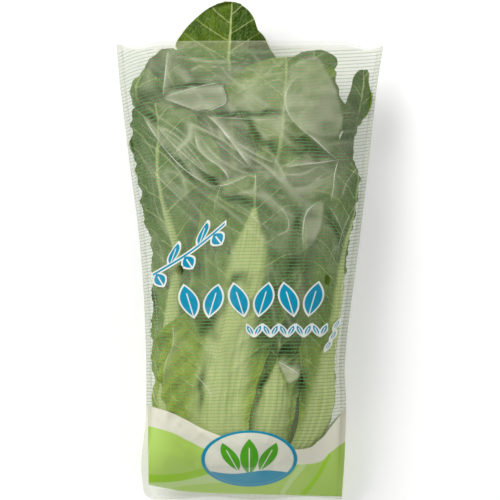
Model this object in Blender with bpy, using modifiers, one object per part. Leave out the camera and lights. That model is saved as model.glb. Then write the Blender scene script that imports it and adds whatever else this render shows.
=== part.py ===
"""A large romaine lettuce head lying on its back in an open-topped film sleeve.

Units are metres. +Y runs from the cut butt to the leaf tips and +Z is up. The origin lies on the
surface that the sleeve rests on, under the middle of the whole object.

Every leaf lies on a shell of its own round the head's axis. Under each leaf that covers it a shell lies
one pitch deeper, and over each midrib it rises, so two leaves never cross, however wide they are. The
head swells and flattens along its length, and low lumps that all the shells share keep it from looking
turned.
"""

import math

import bmesh
import bpy
import numpy as np

# The head: where its axis runs and how far its outermost leaves reach, given as (y, value) stations
AXIS_X = ((-0.160, -0.004), (-0.080, -0.0035), (0.000, 0.000), (0.070, -0.001), (0.180, 0.000))
AXIS_Z = (
    (-0.160, 0.0475),
    (-0.115, 0.0490),
    (-0.080, 0.0490),
    (-0.035, 0.0485),
    (0.000, 0.0465),
    (0.036, 0.0435),
    (0.072, 0.0405),
    (0.108, 0.0380),
    (0.140, 0.0360),
    (0.180, 0.0350),
)
HALF_WIDTH = (
    (-0.160, 0.0300),
    (-0.149, 0.0410),
    (-0.138, 0.0495),
    (-0.120, 0.0580),
    (-0.080, 0.0630),
    (-0.035, 0.0655),
    (0.000, 0.0690),
    (0.036, 0.0755),
    (0.072, 0.0815),
    (0.108, 0.0850),
    (0.140, 0.0870),
    (0.180, 0.0800),
)
HALF_HEIGHT = (
    (-0.160, 0.0245),
    (-0.149, 0.0300),
    (-0.138, 0.0340),
    (-0.120, 0.0380),
    (-0.080, 0.0405),
    (-0.035, 0.0410),
    (0.000, 0.0395),
    (0.036, 0.0365),
    (0.072, 0.0335),
    (0.108, 0.0300),
    (0.140, 0.0270),
    (0.180, 0.0210),
)
LUMP = 0.040  # height of the lumps that all the shells share, as a share of the shell

# The stem: the cut butt and the cone that the leaves grow from, as (y, radius) stations
BUTT_Y = -0.1585
STEM_TIP_Y = -0.0960
STEM = (
    (-0.1585, 0.0200),
    (-0.1520, 0.0215),
    (-0.1400, 0.0185),
    (-0.1250, 0.0130),
    (-0.1100, 0.0075),
    (-0.0960, 0.0020),
)
BUTT_BEVEL = 0.0012
STEM_POINT = 0.001  # height of the blunt point at the top of the stem
STEM_SIDES = 20

# The leaves
BLADE = 0.0009  # thickness of the thin blade
RIB_FOOT = 0.0036  # how much thicker an outer leaf's midrib is at its foot
RIB_TAPER = 1.3
RIB_SPREAD = (0.0095, 0.0045)  # how far the midrib's thickness reaches sideways, at the foot and at the tip
RIB_EASE = 0.006  # the leaves outside a midrib rise over it that much further out
ROOT_GAP = 0.0006  # between a leaf's foot and the stem
PITCH = 0.0031  # how much deeper a leaf lies under each leaf that covers it
COVER_EDGE = 0.006  # a leaf presses down on the ones under it this far past its own edge,
COVER_EASE = 0.026  # and they rise again over this distance
RUFFLE = 0.028  # height of a leaf edge's own waves, as a share of its half width
RUFFLE_LENGTH = 0.047
TIP_SHARE = 0.20  # width of the rounded tip's last row, as a share of the widest row
# Half width of a leaf along its length, as a share of its widest
OUTLINE = (
    (0.00, 0.42),
    (0.10, 0.40),
    (0.25, 0.46),
    (0.40, 0.62),
    (0.55, 0.84),
    (0.70, 1.00),
    (0.82, 0.96),
    (0.91, 0.78),
    (0.97, 0.48),
    (1.00, TIP_SHARE),
)
# Outer and middle leaves, outermost first. Each has the side of the stem that its foot is on, in degrees
# round the axis from +X over the top, the x of its tip, whether the tip lies in the front (1) or the back
# (-1) of the head, the tip's y, and the widest half width
OUTER_LEAVES = (
    (110, 0.004, 1, 0.054, 0.043),
    (22, 0.078, 1, 0.066, 0.042),
    (150, -0.068, 1, 0.106, 0.046),
    (268, -0.012, -1, 0.128, 0.058),
    (72, 0.034, 1, 0.040, 0.036),
    (196, -0.084, 1, 0.131, 0.042),
    (338, 0.083, -1, 0.131, 0.036),
    (82, 0.026, 1, 0.139, 0.052),
    (214, -0.058, -1, 0.147, 0.046),
    (56, 0.045, 1, 0.144, 0.036),
    (306, 0.040, -1, 0.134, 0.046),
    (114, -0.013, 1, 0.179, 0.042),
    (172, -0.048, -1, 0.120, 0.038),
    (262, -0.006, -1, 0.166, 0.038),
)
# Heart leaves follow the golden angle, each shorter and narrower than the last
HEART_COUNT = 8
HEART_FIRST_SIDE = 35
GOLDEN_ANGLE = 137.508
HEART_TIP_Y = (0.104, 0.000)
HEART_HALF_WIDTH = (0.032, 0.015)
LEAF_COUNT = len(OUTER_LEAVES) + HEART_COUNT
RIB_LOSS = 0.62  # how much of the midrib's thickness the innermost leaf lacks
OUTER_GRID = (10, 13)  # cells across and along an outer leaf
HEART_GRID = (8, 11)
ROWS_TOWARDS_TIP = 0.82  # under 1 crowds the rows towards the tip, where the edge waves
SIDE_STEPS = 24

# The film sleeve
FILM = 0.0008
SLEEVE_FOOT_Y = -0.179
SLEEVE_LEFT = (
    (-0.179, -0.0770),
    (-0.158, -0.0790),
    (-0.122, -0.0755),
    (-0.087, -0.0750),
    (-0.050, -0.0760),
    (-0.022, -0.0775),
    (0.021, -0.0815),
    (0.057, -0.0865),
    (0.090, -0.0905),
    (0.122, -0.0945),
    (0.150, -0.0970),
)
SLEEVE_RIGHT = (
    (-0.179, 0.0670),
    (-0.137, 0.0690),
    (-0.108, 0.0695),
    (-0.087, 0.0685),
    (-0.065, 0.0700),
    (-0.036, 0.0735),
    (-0.007, 0.0775),
    (0.021, 0.0810),
    (0.050, 0.0845),
    (0.086, 0.0885),
    (0.122, 0.0925),
    (0.150, 0.0970),
)
# Heights of the side welds, of the front sheet over the head, and of the back sheet, which is pressed
# flat where this is under 0; then the y of each ring of the sleeve
WELD_Z = (
    (-0.179, 0.0160),
    (-0.160, 0.0350),
    (-0.120, 0.0450),
    (-0.035, 0.0470),
    (0.036, 0.0440),
    (0.108, 0.0370),
    (0.150, 0.0310),
)
FRONT_Z = (
    (-0.179, 0.0270),
    (-0.175, 0.0420),
    (-0.168, 0.0640),
    (-0.158, 0.0830),
    (-0.140, 0.0945),
    (-0.115, 0.0985),
    (-0.080, 0.0990),
    (-0.035, 0.0975),
    (0.000, 0.0930),
    (0.036, 0.0880),
    (0.072, 0.0825),
    (0.108, 0.0770),
    (0.150, 0.0700),
)
BACK_Z = (
    (-0.179, 0.0060),
    (-0.172, 0.0015),
    (-0.160, -0.0010),
    (-0.120, -0.0030),
    (0.080, -0.0030),
    (0.125, -0.0010),
    (0.150, 0.0005),
)
SLEEVE_RINGS = (
    *(-0.179, -0.1765, -0.172, -0.165, -0.156, -0.142, -0.122, -0.095),
    *(-0.062, -0.025, 0.012, 0.048, 0.083, 0.118, 0.150),
)
SLEEVE_SIDES = 32
SECTION_SHARPNESS = 2.4
SECTION_ROUNDNESS = 0.60
# The vent holes, punched through both sheets: the x and y of each
VENTS = ((-0.0500, -0.0145), (0.0550, -0.0220))
VENT_RADIUS = 0.003
VENT_SIDES = 10
PUNCH_LENGTH = 0.3

COLOURS = {
    "leaf_outer": (0.13, 0.24, 0.045, 1.0),
    "leaf_heart": (0.42, 0.50, 0.16, 1.0),
    "stem": (0.72, 0.74, 0.50, 1.0),
    "film": (0.80, 0.84, 0.80, 0.35),
}


def clear_scene():
    for obj in list(bpy.data.objects):
        bpy.data.objects.remove(obj)


def smooth(stations, at):
    """Cubic curve through (place, value) stations, read at one place or at many."""
    xs, ys = np.array(stations).T
    slopes = np.gradient(ys, xs)
    at = np.clip(np.asarray(at, float), xs[0], xs[-1])
    i = np.clip(np.searchsorted(xs, at, side="right") - 1, 0, len(xs) - 2)
    gap = xs[i + 1] - xs[i]
    t = (at - xs[i]) / gap
    t2, t3 = t * t, t * t * t
    return (
        (2 * t3 - 3 * t2 + 1) * ys[i]
        + (t3 - 2 * t2 + t) * gap * slopes[i]
        + (3 * t2 - 2 * t3) * ys[i + 1]
        + (t3 - t2) * gap * slopes[i + 1]
    )


def step(low, high, at):
    """0 below low, 1 above high, and a smooth rise between."""
    t = np.clip((at - low) / (high - low), 0, 1)
    return t * t * (3 - 2 * t)


def lumps(side, y):
    """The low lumps that every shell shares, from -1 to 1."""
    return (
        0.45 * np.sin(2 * side + 31 * y + 0.6)
        + 0.33 * np.sin(3 * side - 57 * y + 2.1)
        + 0.22 * np.sin(5 * side + 83 * y + 4.0)
    )


def along(leaf, y):
    """How far along the leaf y lies, from 0 at its foot to 1 at its tip."""
    return np.clip((y - leaf["root"]) / (leaf["tip"] - leaf["root"]), 0, 1)


def rib_side(leaf, y):
    """The side of the head that the leaf's midrib is on at y."""
    return leaf["foot_side"] + (leaf["tip_side"] - leaf["foot_side"]) * step(0, 1, along(leaf, y))


def round_the_shell(share, side, y):
    """Length of the shell's outline there for each radian round the axis."""
    return share * np.hypot(smooth(HALF_WIDTH, y) * np.sin(side), smooth(HALF_HEIGHT, y) * np.cos(side))


def from_rib(leaf, side, y):
    """How far a point is from the leaf's midrib, measured round the shell."""
    turn = (side - rib_side(leaf, y) + math.pi) % (2 * math.pi) - math.pi
    return np.abs(turn) * round_the_shell(leaf["share"], side - turn / 2, y)


def rib_height(leaf, away, y):
    """How much thicker than the blade the leaf is at that distance from its midrib's line."""
    v = along(leaf, y)
    spread = RIB_SPREAD[0] + (RIB_SPREAD[1] - RIB_SPREAD[0]) * v
    return leaf["rib"] * (1 - v) ** RIB_TAPER * np.exp(-((away / spread) ** 2))


def rise_over_rib(leaf, side, y):
    """How far the leaves outside this one rise over its midrib."""
    v = along(leaf, y)
    spread = RIB_SPREAD[0] + (RIB_SPREAD[1] - RIB_SPREAD[0]) * v + RIB_EASE
    height = leaf["rib"] * (1 - v) ** RIB_TAPER * step(leaf["root"] - 0.03, leaf["root"], y)
    return height * np.exp(-((from_rib(leaf, side, y) / spread) ** 2))


def cover(leaf, side, y):
    """1 where the leaf covers the ones inside it, fading to 0 a little past its edge and its tip."""
    edge = leaf["half_width"] * smooth(OUTLINE, along(leaf, y)) + COVER_EDGE
    beside = 1 - step(edge, edge + COVER_EASE, from_rib(leaf, side, y))
    return beside * (1 - step(leaf["tip"] + COVER_EDGE, leaf["tip"] + COVER_EDGE + COVER_EASE, y))


def shell_share(outside, side, y):
    """How far out a leaf lies under the leaves outside it: 1 is the outside of the head, 0 its axis."""
    depth = sum((cover(leaf, side, y) for leaf in outside), np.zeros(np.shape(y)))
    return 1 - PITCH * depth / smooth(HALF_HEIGHT, y)


def side_after(share, side, y, distance):
    """The side reached by going that distance round the shell from a first side."""
    for _ in range(SIDE_STEPS):
        side = side + distance / SIDE_STEPS / round_the_shell(share, side, y)
    return side


def leaf_surface(u, v, leaf, leaves):
    """The middle of a leaf and its thickness, at u from -1 to 1 across it and v from 0 to 1 along it."""
    outside, inside = leaves[: leaf["rank"]], leaves[leaf["rank"] + 1 :]
    y = leaf["root"] + (leaf["tip"] - leaf["root"]) * v
    rib = rib_side(leaf, y)
    away = u * leaf["half_width"] * smooth(OUTLINE, v)
    side = side_after(shell_share(outside, rib, y), rib, y, away)
    extra = rib_height(leaf, np.abs(away), y)
    ruffle = RUFFLE * leaf["half_width"] * np.abs(u) ** 3 * np.minimum(1, 2.2 * v)
    ruffle = ruffle * np.sin(2 * math.pi * y / RUFFLE_LENGTH + leaf["rank"] * 1.9 + np.sign(u) * 0.7)
    out = extra / 2 + ruffle + sum((rise_over_rib(other, side, y) for other in inside), np.zeros(len(y)))
    half_width, half_height = smooth(HALF_WIDTH, y), smooth(HALF_HEIGHT, y)
    reach = shell_share(outside, side, y) * (1 + LUMP * lumps(side, y))
    out_x, out_z = half_height * np.cos(side), half_width * np.sin(side)
    size = np.hypot(out_x, out_z)
    x = smooth(AXIS_X, y) + reach * half_width * np.cos(side) + out * out_x / size
    z = smooth(AXIS_Z, y) + reach * half_height * np.sin(side) + out * out_z / size
    return np.column_stack([x, y, z]), BLADE + extra


def make_leaf(leaf, leaves, material, home):
    """One leaf: a grid laid on its shell, split into triangles and given its thickness by Solidify."""
    across, lengthwise = leaf["grid"]
    bm = bmesh.new()
    bmesh.ops.create_grid(bm, x_segments=across, y_segments=lengthwise, size=1.0)
    bmesh.ops.triangulate(bm, faces=bm.faces, quad_method="FIXED")
    flat = np.array([vertex.co for vertex in bm.verts])
    u = flat[:, 0]
    v = 1 - ((1 - flat[:, 1]) / 2) ** (1 / ROWS_TOWARDS_TIP)
    points, thickness = leaf_surface(u, v, leaf, leaves)
    for vertex, point in zip(bm.verts, points):
        vertex.co = point
    bm.normal_update()
    mesh = bpy.data.meshes.new(leaf["name"])
    bm.to_mesh(mesh)
    bm.free()
    mesh.shade_smooth()
    mesh.materials.append(material)
    obj = bpy.data.objects.new(leaf["name"], mesh)
    home.objects.link(obj)
    group = obj.vertex_groups.new(name="thickness")
    for index, value in enumerate(thickness):
        group.add([index], float(value / thickness.max()), "REPLACE")
    wall = obj.modifiers.new("wall", "SOLIDIFY")
    wall.thickness = float(thickness.max())
    wall.offset = 0.0
    wall.vertex_group = group.name
    return obj


def root_y(outside, side, half_foot):
    """The y where a leaf under those leaves meets the stem, just clear of it all across its foot."""
    ys = np.linspace(BUTT_Y + 0.004, STEM_TIP_Y + 0.004, 160)
    room = np.full(len(ys), 1.0)
    for across in (-1, 0, 1):
        share = shell_share(outside, side + across * half_foot / STEM[1][1], ys)
        room = np.minimum(room, share * smooth(HALF_HEIGHT, ys) * (1 - LUMP))
    clear = room - BLADE / 2 - ROOT_GAP > smooth(STEM, np.minimum(ys, STEM_TIP_Y))
    return float(ys[np.argmax(clear)])


def leaf_rows():
    """The given values of every leaf, outermost first."""
    rows = list(OUTER_LEAVES)
    for i in range(HEART_COUNT):
        share = i / (HEART_COUNT - 1)
        side = HEART_FIRST_SIDE + i * GOLDEN_ANGLE
        tip = HEART_TIP_Y[0] + (HEART_TIP_Y[1] - HEART_TIP_Y[0]) * share
        half = HEART_HALF_WIDTH[0] + (HEART_HALF_WIDTH[1] - HEART_HALF_WIDTH[0]) * share
        rows.append((side, None, 1, tip, half))
    return rows


def leaf_list():
    """Every leaf with what follows from its given values: its shell, its foot and the side of its tip."""
    leaves = []
    for rank, (foot_side, tip_x, front, tip, half) in enumerate(leaf_rows()):
        foot_side = math.radians(foot_side)
        leaf = {
            "name": f"leaf_{rank + 1:02d}",
            "rank": rank,
            "foot_side": foot_side,
            "tip_side": foot_side,
            "tip": tip,
            "half_width": half,
            "rib": RIB_FOOT * (1 - RIB_LOSS * rank / (LEAF_COUNT - 1)),
            "root": root_y(leaves, foot_side, half * OUTLINE[0][1]),
            "grid": OUTER_GRID if tip_x is not None else HEART_GRID,
        }
        leaf["share"] = float(shell_share(leaves, foot_side, (leaf["root"] + tip) / 2))
        if tip_x is not None:
            top = float(shell_share(leaves, foot_side, tip))
            lean = (tip_x - float(smooth(AXIS_X, tip))) / (top * float(smooth(HALF_WIDTH, tip)))
            angle = math.acos(max(-1.0, min(1.0, lean)))
            tip_side = angle if front > 0 else 2 * math.pi - angle
            turn = (tip_side - foot_side + math.pi) % (2 * math.pi) - math.pi
            leaf["tip_side"] = foot_side + turn
        leaves.append(leaf)
    return leaves


def make_stem(material, home):
    """The stem, turned about the head's axis: a flat cut face at the butt and a blunt cone above it."""
    butt_radius = STEM[0][1]
    cut_face = [(0.0, BUTT_Y), (butt_radius - BUTT_BEVEL, BUTT_Y), (butt_radius, BUTT_Y + BUTT_BEVEL)]
    side = [(radius, y) for y, radius in STEM[1:]]
    profile = [*cut_face, *side, (0.0, STEM_TIP_Y + STEM_POINT)]
    mesh = bpy.data.meshes.new("stem")
    edges = [(i, i + 1) for i in range(len(profile) - 1)]
    mesh.from_pydata([(radius, y, 0.0) for radius, y in profile], edges, [])
    mesh.materials.append(material)
    obj = bpy.data.objects.new("stem", mesh)
    home.objects.link(obj)
    obj.location = (float(smooth(AXIS_X, BUTT_Y)), 0.0, float(smooth(AXIS_Z, BUTT_Y)))
    turn = obj.modifiers.new("turn", "SCREW")
    turn.axis = "Y"
    turn.steps = turn.render_steps = STEM_SIDES
    turn.use_merge_vertices = True
    turn.merge_threshold = 0.0001
    turn.use_normal_flip = True
    return obj


def sleeve_point(turn, y):
    """A point of the sleeve's outer face; turn goes once round, from the right weld over the front."""
    left, right = smooth(SLEEVE_LEFT, y), smooth(SLEEVE_RIGHT, y)
    weld, front, back = smooth(WELD_Z, y), smooth(FRONT_Z, y), smooth(BACK_Z, y)
    across = math.cos(turn)
    rise = (1 - min(1.0, abs(across)) ** SECTION_SHARPNESS) ** SECTION_ROUNDNESS
    if math.sin(turn) >= 0:
        z = weld + (front - weld) * rise
    else:
        z = max(0.0, weld + (back - weld) * rise)
    return float((left + right) / 2 + (right - left) / 2 * across), y, float(z)


def make_vent_cutters(home):
    cutters = []
    for x, y in VENTS:
        bpy.ops.mesh.primitive_cylinder_add(
            vertices=VENT_SIDES, radius=VENT_RADIUS, depth=PUNCH_LENGTH, location=(x, y, 0)
        )
        cutter = bpy.context.object
        for collection in list(cutter.users_collection):
            collection.objects.unlink(cutter)
        home.objects.link(cutter)
        cutter.name = f"vent_cutter_{len(cutters) + 1}"
        cutter.hide_render = True
        cutter.display_type = "WIRE"
        cutters.append(cutter)
    return cutters


def make_sleeve(material, home, cutters):
    """The sleeve: a grid rolled into a tube, its foot closed, given the film's thickness by Solidify."""
    bm = bmesh.new()
    rings = len(SLEEVE_RINGS) - 1
    bmesh.ops.create_grid(bm, x_segments=SLEEVE_SIDES, y_segments=rings, size=1.0)
    for vertex in bm.verts:
        turn = (vertex.co.x + 1) * math.pi
        ring = round((vertex.co.y + 1) / 2 * rings)
        vertex.co = sleeve_point(turn, SLEEVE_RINGS[ring])
    bmesh.ops.remove_doubles(bm, verts=bm.verts, dist=0.00001)
    foot = [e for e in bm.edges if e.is_boundary and all(v.co.y < SLEEVE_FOOT_Y + 0.0001 for v in e.verts)]
    bmesh.ops.holes_fill(bm, edges=foot)
    bmesh.ops.recalc_face_normals(bm, faces=bm.faces)
    mesh = bpy.data.meshes.new("sleeve")
    bm.to_mesh(mesh)
    bm.free()
    mesh.shade_smooth()
    mesh.materials.append(material)
    obj = bpy.data.objects.new("sleeve", mesh)
    home.objects.link(obj)
    wall = obj.modifiers.new("film", "SOLIDIFY")
    wall.thickness = FILM
    wall.offset = -1.0
    for cutter in cutters:
        vent = obj.modifiers.new(cutter.name, "BOOLEAN")
        vent.operation = "DIFFERENCE"
        vent.object = cutter
    return obj


def make_material(name, roughness):
    material = bpy.data.materials.new(name)
    material.use_nodes = True
    shader = material.node_tree.nodes["Principled BSDF"]
    shader.inputs["Base Color"].default_value = COLOURS[name]
    shader.inputs["Roughness"].default_value = roughness
    shader.inputs["Alpha"].default_value = COLOURS[name][3]
    material.diffuse_color = COLOURS[name]
    return material


def main():
    clear_scene()
    head = bpy.data.collections.new("romaine_lettuce_head")
    cutting = bpy.data.collections.new("cutters")
    for collection in (head, cutting):
        bpy.context.scene.collection.children.link(collection)
    outer = make_material("leaf_outer", 0.45)
    heart = make_material("leaf_heart", 0.5)
    leaves = leaf_list()
    for leaf in leaves:
        make_leaf(leaf, leaves, outer if leaf["rank"] < len(OUTER_LEAVES) else heart, head)
    make_stem(make_material("stem", 0.55), head)
    make_sleeve(make_material("film", 0.2), head, make_vent_cutters(cutting))


main()
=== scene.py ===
# %% [markdown]
# # A romaine lettuce head in its film sleeve
#
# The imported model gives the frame: a stem, twenty-two leaves and a sleeve, all at their real size. This
# script dresses it. Every leaf becomes a fine, puckered blade with a pale midrib and side veins, and the
# sleeve becomes two sheets of hazy printed film that lie over the leaves and crease between them.
# All lengths are in metres. +Y runs from the cut stem to the leaf tips, and +Z is up, towards the camera.

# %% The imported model
import math

import bpy
import numpy as np
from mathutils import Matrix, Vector
from mathutils.bvhtree import BVHTree


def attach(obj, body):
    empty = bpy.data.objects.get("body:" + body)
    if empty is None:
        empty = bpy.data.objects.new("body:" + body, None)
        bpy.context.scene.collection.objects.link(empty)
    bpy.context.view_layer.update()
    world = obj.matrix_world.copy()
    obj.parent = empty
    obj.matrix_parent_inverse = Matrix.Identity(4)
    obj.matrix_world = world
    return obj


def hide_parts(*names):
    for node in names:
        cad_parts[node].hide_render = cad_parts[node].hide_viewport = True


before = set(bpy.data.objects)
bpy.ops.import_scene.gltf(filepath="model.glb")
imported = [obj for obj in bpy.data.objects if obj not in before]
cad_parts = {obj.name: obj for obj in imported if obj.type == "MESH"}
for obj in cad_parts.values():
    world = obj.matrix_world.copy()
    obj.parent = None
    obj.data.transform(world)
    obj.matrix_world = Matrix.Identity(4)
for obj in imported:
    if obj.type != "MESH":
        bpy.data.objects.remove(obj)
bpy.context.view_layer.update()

# %% [markdown]
# ## The camera, the floor and the light
#
# The head lies on its back, and the photograph looks at its front, so the camera looks straight down. A long
# lens keeps the sleeve's sides as parallel as they are in the photograph. The floor is a plain pale light
# table, which gives the shadowless white ground of a product picture. A soft sky and two large lamps light
# the head, with enough direction left for the leaves' relief and the film's creases to show.

# %% Camera, floor and lamps
CAMERA_DISTANCE = 3.2
VIEW_WIDTH = 0.360  # the width that the picture takes in, half way up the head
VIEW_LEVEL = 0.060
LENS = 200.0
FLOOR_SIZE = 6.0
SKY_STRENGTH = 0.42
WHITE = (1, 1, 1, 1)
LAMPS = {"window": ((-1.1, 1.2, 1.7), 1.3, 44), "fill": ((1.5, -0.5, 1.3), 1.2, 7)}  # place, size and watts
FLOOR_LOOK = {
    "Base Color": (0.78, 0.78, 0.78, 1),
    "Roughness": 0.9,
    "Emission Color": WHITE,
    "Emission Strength": 0.32,
}

scene = bpy.context.scene
scene.view_settings.view_transform = "Standard"


def add_object(name, data):
    obj = bpy.data.objects.new(name, data)
    scene.collection.objects.link(obj)
    return obj


camera = add_object("camera", bpy.data.cameras.new("camera"))
camera.data.lens = LENS
camera.data.sensor_width = LENS * VIEW_WIDTH / CAMERA_DISTANCE
camera.location = (0, 0, VIEW_LEVEL + CAMERA_DISTANCE)
camera.data.clip_end = 20
scene.camera = camera

for lamp_name, (spot, breadth, watts) in LAMPS.items():
    lamp = add_object(lamp_name, bpy.data.lights.new(lamp_name, "AREA"))
    lamp.data.shape = "SQUARE"
    lamp.data.size = breadth
    lamp.data.energy = watts
    lamp.location = spot
    lamp.rotation_euler = (-Vector(spot)).to_track_quat("-Z", "Y").to_euler()

world = bpy.data.worlds.new("sky")
scene.world = world
world.use_nodes = True
world.node_tree.nodes["Background"].inputs["Color"].default_value = WHITE
world.node_tree.nodes["Background"].inputs["Strength"].default_value = SKY_STRENGTH

far = FLOOR_SIZE / 2
floor_mesh = bpy.data.meshes.new("floor")
floor_mesh.from_pydata([(-far, -far, 0), (far, -far, 0), (far, far, 0), (-far, far, 0)], [], [(0, 1, 2, 3)])
floor = add_object("floor", floor_mesh)
floor_paint = bpy.data.materials.new("floor_paint")
floor_paint.use_nodes = True
for socket_name, value in FLOOR_LOOK.items():
    floor_paint.node_tree.nodes["Principled BSDF"].inputs[socket_name].default_value = value
floor_mesh.materials.append(floor_paint)

# %% [markdown]
# ## The form of the head
#
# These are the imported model's own values: where the head's axis runs, how far its leaves reach, and where
# each leaf has its foot and its tip. Every leaf lies on a shell of its own, one pitch deeper under each leaf
# that covers it, so leaves never cross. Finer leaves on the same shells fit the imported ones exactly.

# %% The head's axis and reach
AXIS_X = ((-0.160, -0.004), (-0.080, -0.0035), (0.000, 0.000), (0.070, -0.001), (0.180, 0.000))
AXIS_Z = (
    (-0.160, 0.0475), (-0.115, 0.0490), (-0.080, 0.0490), (-0.035, 0.0485), (0.000, 0.0465),
    (0.036, 0.0435), (0.072, 0.0405), (0.108, 0.0380), (0.140, 0.0360), (0.180, 0.0350),
)
HALF_WIDTH = (
    (-0.160, 0.0300), (-0.149, 0.0410), (-0.138, 0.0495), (-0.120, 0.0580), (-0.080, 0.0630),
    (-0.035, 0.0655), (0.000, 0.0690), (0.036, 0.0755), (0.072, 0.0815), (0.108, 0.0850),
    (0.140, 0.0870), (0.180, 0.0800),
)
HALF_HEIGHT = (
    (-0.160, 0.0245), (-0.149, 0.0300), (-0.138, 0.0340), (-0.120, 0.0380), (-0.080, 0.0405),
    (-0.035, 0.0410), (0.000, 0.0395), (0.036, 0.0365), (0.072, 0.0335), (0.108, 0.0300),
    (0.140, 0.0270), (0.180, 0.0210),
)
LUMP = 0.040  # of the shells, as a share of their reach
BUTT_Y = -0.1585  # the cut face
STEM_TIP_Y = -0.0960
STEM = (
    (-0.1585, 0.0200), (-0.1520, 0.0215), (-0.1400, 0.0185),
    (-0.1250, 0.0130), (-0.1100, 0.0075), (-0.0960, 0.0020),
)

# %% The leaves' own values
RIB_FOOT = 0.0036  # how much thicker than its blade the outermost leaf is along its midrib, at its foot
RIB_TAPER = 1.3
RIB_SPREAD = (0.0095, 0.0045)  # the rib's reach to each side, at the foot and at the tip
RIB_EASE = 0.006  # leaves outside a rib rise over it this much more widely
RIB_RISE = 0.03  # and begin to rise this far before its foot
RIB_LOSS = 0.62  # share of the rib's height that the innermost leaf lacks
ROOT_GAP = 0.0006  # between a leaf's foot and the stem
CAD_BLADE = 0.0009
PITCH = 0.0031  # each covering leaf pushes the shell in by this much
COVER_EDGE = 0.006  # a leaf covers this far past its edge
COVER_EASE = 0.026  # and its cover fades over this length
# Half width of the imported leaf's outline against its widest, from its foot (0) to its tip (1)
OUTLINE = (
    (0.00, 0.42), (0.10, 0.40), (0.25, 0.46), (0.40, 0.62), (0.55, 0.84),
    (0.70, 1.00), (0.82, 0.96), (0.91, 0.78), (0.97, 0.48), (1.00, 0.20),
)
# For each leaf, outermost first: the side of the stem that its foot is on in degrees, the x of its tip,
# front (1) or back (-1), the tip's y, and the widest half width
OUTER_LEAVES = (
    (110, 0.004, 1, 0.054, 0.043),
    (22, 0.078, 1, 0.066, 0.042),
    (150, -0.068, 1, 0.106, 0.046),
    (268, -0.012, -1, 0.128, 0.058),
    (72, 0.034, 1, 0.040, 0.036),
    (196, -0.084, 1, 0.131, 0.042),
    (338, 0.083, -1, 0.131, 0.036),
    (82, 0.026, 1, 0.139, 0.052),
    (214, -0.058, -1, 0.147, 0.046),
    (56, 0.045, 1, 0.144, 0.036),
    (306, 0.040, -1, 0.134, 0.046),
    (114, -0.013, 1, 0.179, 0.042),
    (172, -0.048, -1, 0.120, 0.038),
    (262, -0.006, -1, 0.166, 0.038),
)
HEART_COUNT = 8
HEART_FIRST_SIDE = 35
GOLDEN_ANGLE = 137.508
HEART_TIP_Y = (0.104, 0.000)
HEART_HALF_WIDTH = (0.032, 0.015)
LEAF_COUNT = len(OUTER_LEAVES) + HEART_COUNT
SIDE_STEPS = 24  # steps in which a way round a shell is walked

# %% Curves and shells


def smooth(stations, at):
    """Cubic curve through (place, value) stations, read at one place or at many."""
    xs, ys = np.array(stations).T
    slopes = np.gradient(ys, xs)
    at = np.clip(np.asarray(at, float), xs[0], xs[-1])
    i = np.clip(np.searchsorted(xs, at, side="right") - 1, 0, len(xs) - 2)
    gap = xs[i + 1] - xs[i]
    t = (at - xs[i]) / gap
    t2, t3 = t * t, t * t * t
    return (
        (2 * t3 - 3 * t2 + 1) * ys[i]
        + (t3 - 2 * t2 + t) * gap * slopes[i]
        + (3 * t2 - 2 * t3) * ys[i + 1]
        + (t3 - t2) * gap * slopes[i + 1]
    )


def step(low, high, at):
    """0 below low, 1 above high, and a smooth rise between."""
    t = np.clip((at - low) / (high - low), 0, 1)
    return t * t * (3 - 2 * t)


def plateau(spans, at):
    """0, rising to 1 between the first two places and falling back to 0 between the last two."""
    return step(*spans[:2], at) * (1 - step(*spans[2:], at))


def between_ends(ends, share):
    """The value that lies that share of the way from the first end to the last."""
    return ends[0] + (ends[1] - ends[0]) * share


def lumps(side, y):
    """The low lumps that every shell shares, from -1 to 1."""
    return (
        0.45 * np.sin(2 * side + 31 * y + 0.6)
        + 0.33 * np.sin(3 * side - 57 * y + 2.1)
        + 0.22 * np.sin(5 * side + 83 * y + 4.0)
    )


def along(leaf, y):
    return np.clip((y - leaf["root"]) / (leaf["tip"] - leaf["root"]), 0, 1)


def rib_side(leaf, y):
    return leaf["foot_side"] + (leaf["tip_side"] - leaf["foot_side"]) * step(0, 1, along(leaf, y))


def round_the_shell(share, side, y):
    """Length of the shell's outline there for each radian round the axis."""
    return share * np.hypot(smooth(HALF_WIDTH, y) * np.sin(side), smooth(HALF_HEIGHT, y) * np.cos(side))


def from_rib(leaf, side, y):
    turn = (side - rib_side(leaf, y) + math.pi) % (2 * math.pi) - math.pi
    return np.abs(turn) * round_the_shell(leaf["share"], side - turn / 2, y)


def rib_height(leaf, away, y):
    """How much thicker than the blade the leaf is at that distance from its midrib's line."""
    v = along(leaf, y)
    spread = between_ends(RIB_SPREAD, v)
    return leaf["rib"] * (1 - v) ** RIB_TAPER * np.exp(-((away / spread) ** 2))


def rise_over_rib(leaf, side, y):
    v = along(leaf, y)
    spread = between_ends(RIB_SPREAD, v) + RIB_EASE
    height = leaf["rib"] * (1 - v) ** RIB_TAPER * step(leaf["root"] - RIB_RISE, leaf["root"], y)
    return height * np.exp(-((from_rib(leaf, side, y) / spread) ** 2))


def cover(leaf, side, y):
    """1 where the leaf covers the ones inside it, fading to 0 a little past its edge and its tip."""
    edge = leaf["half_width"] * smooth(OUTLINE, along(leaf, y)) + COVER_EDGE
    beside = 1 - step(edge, edge + COVER_EASE, from_rib(leaf, side, y))
    return beside * (1 - step(leaf["tip"] + COVER_EDGE, leaf["tip"] + COVER_EDGE + COVER_EASE, y))


def shell_share(outside, side, y):
    depth = sum((cover(leaf, side, y) for leaf in outside), np.zeros(np.shape(y)))
    return 1 - PITCH * depth / smooth(HALF_HEIGHT, y)


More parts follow.
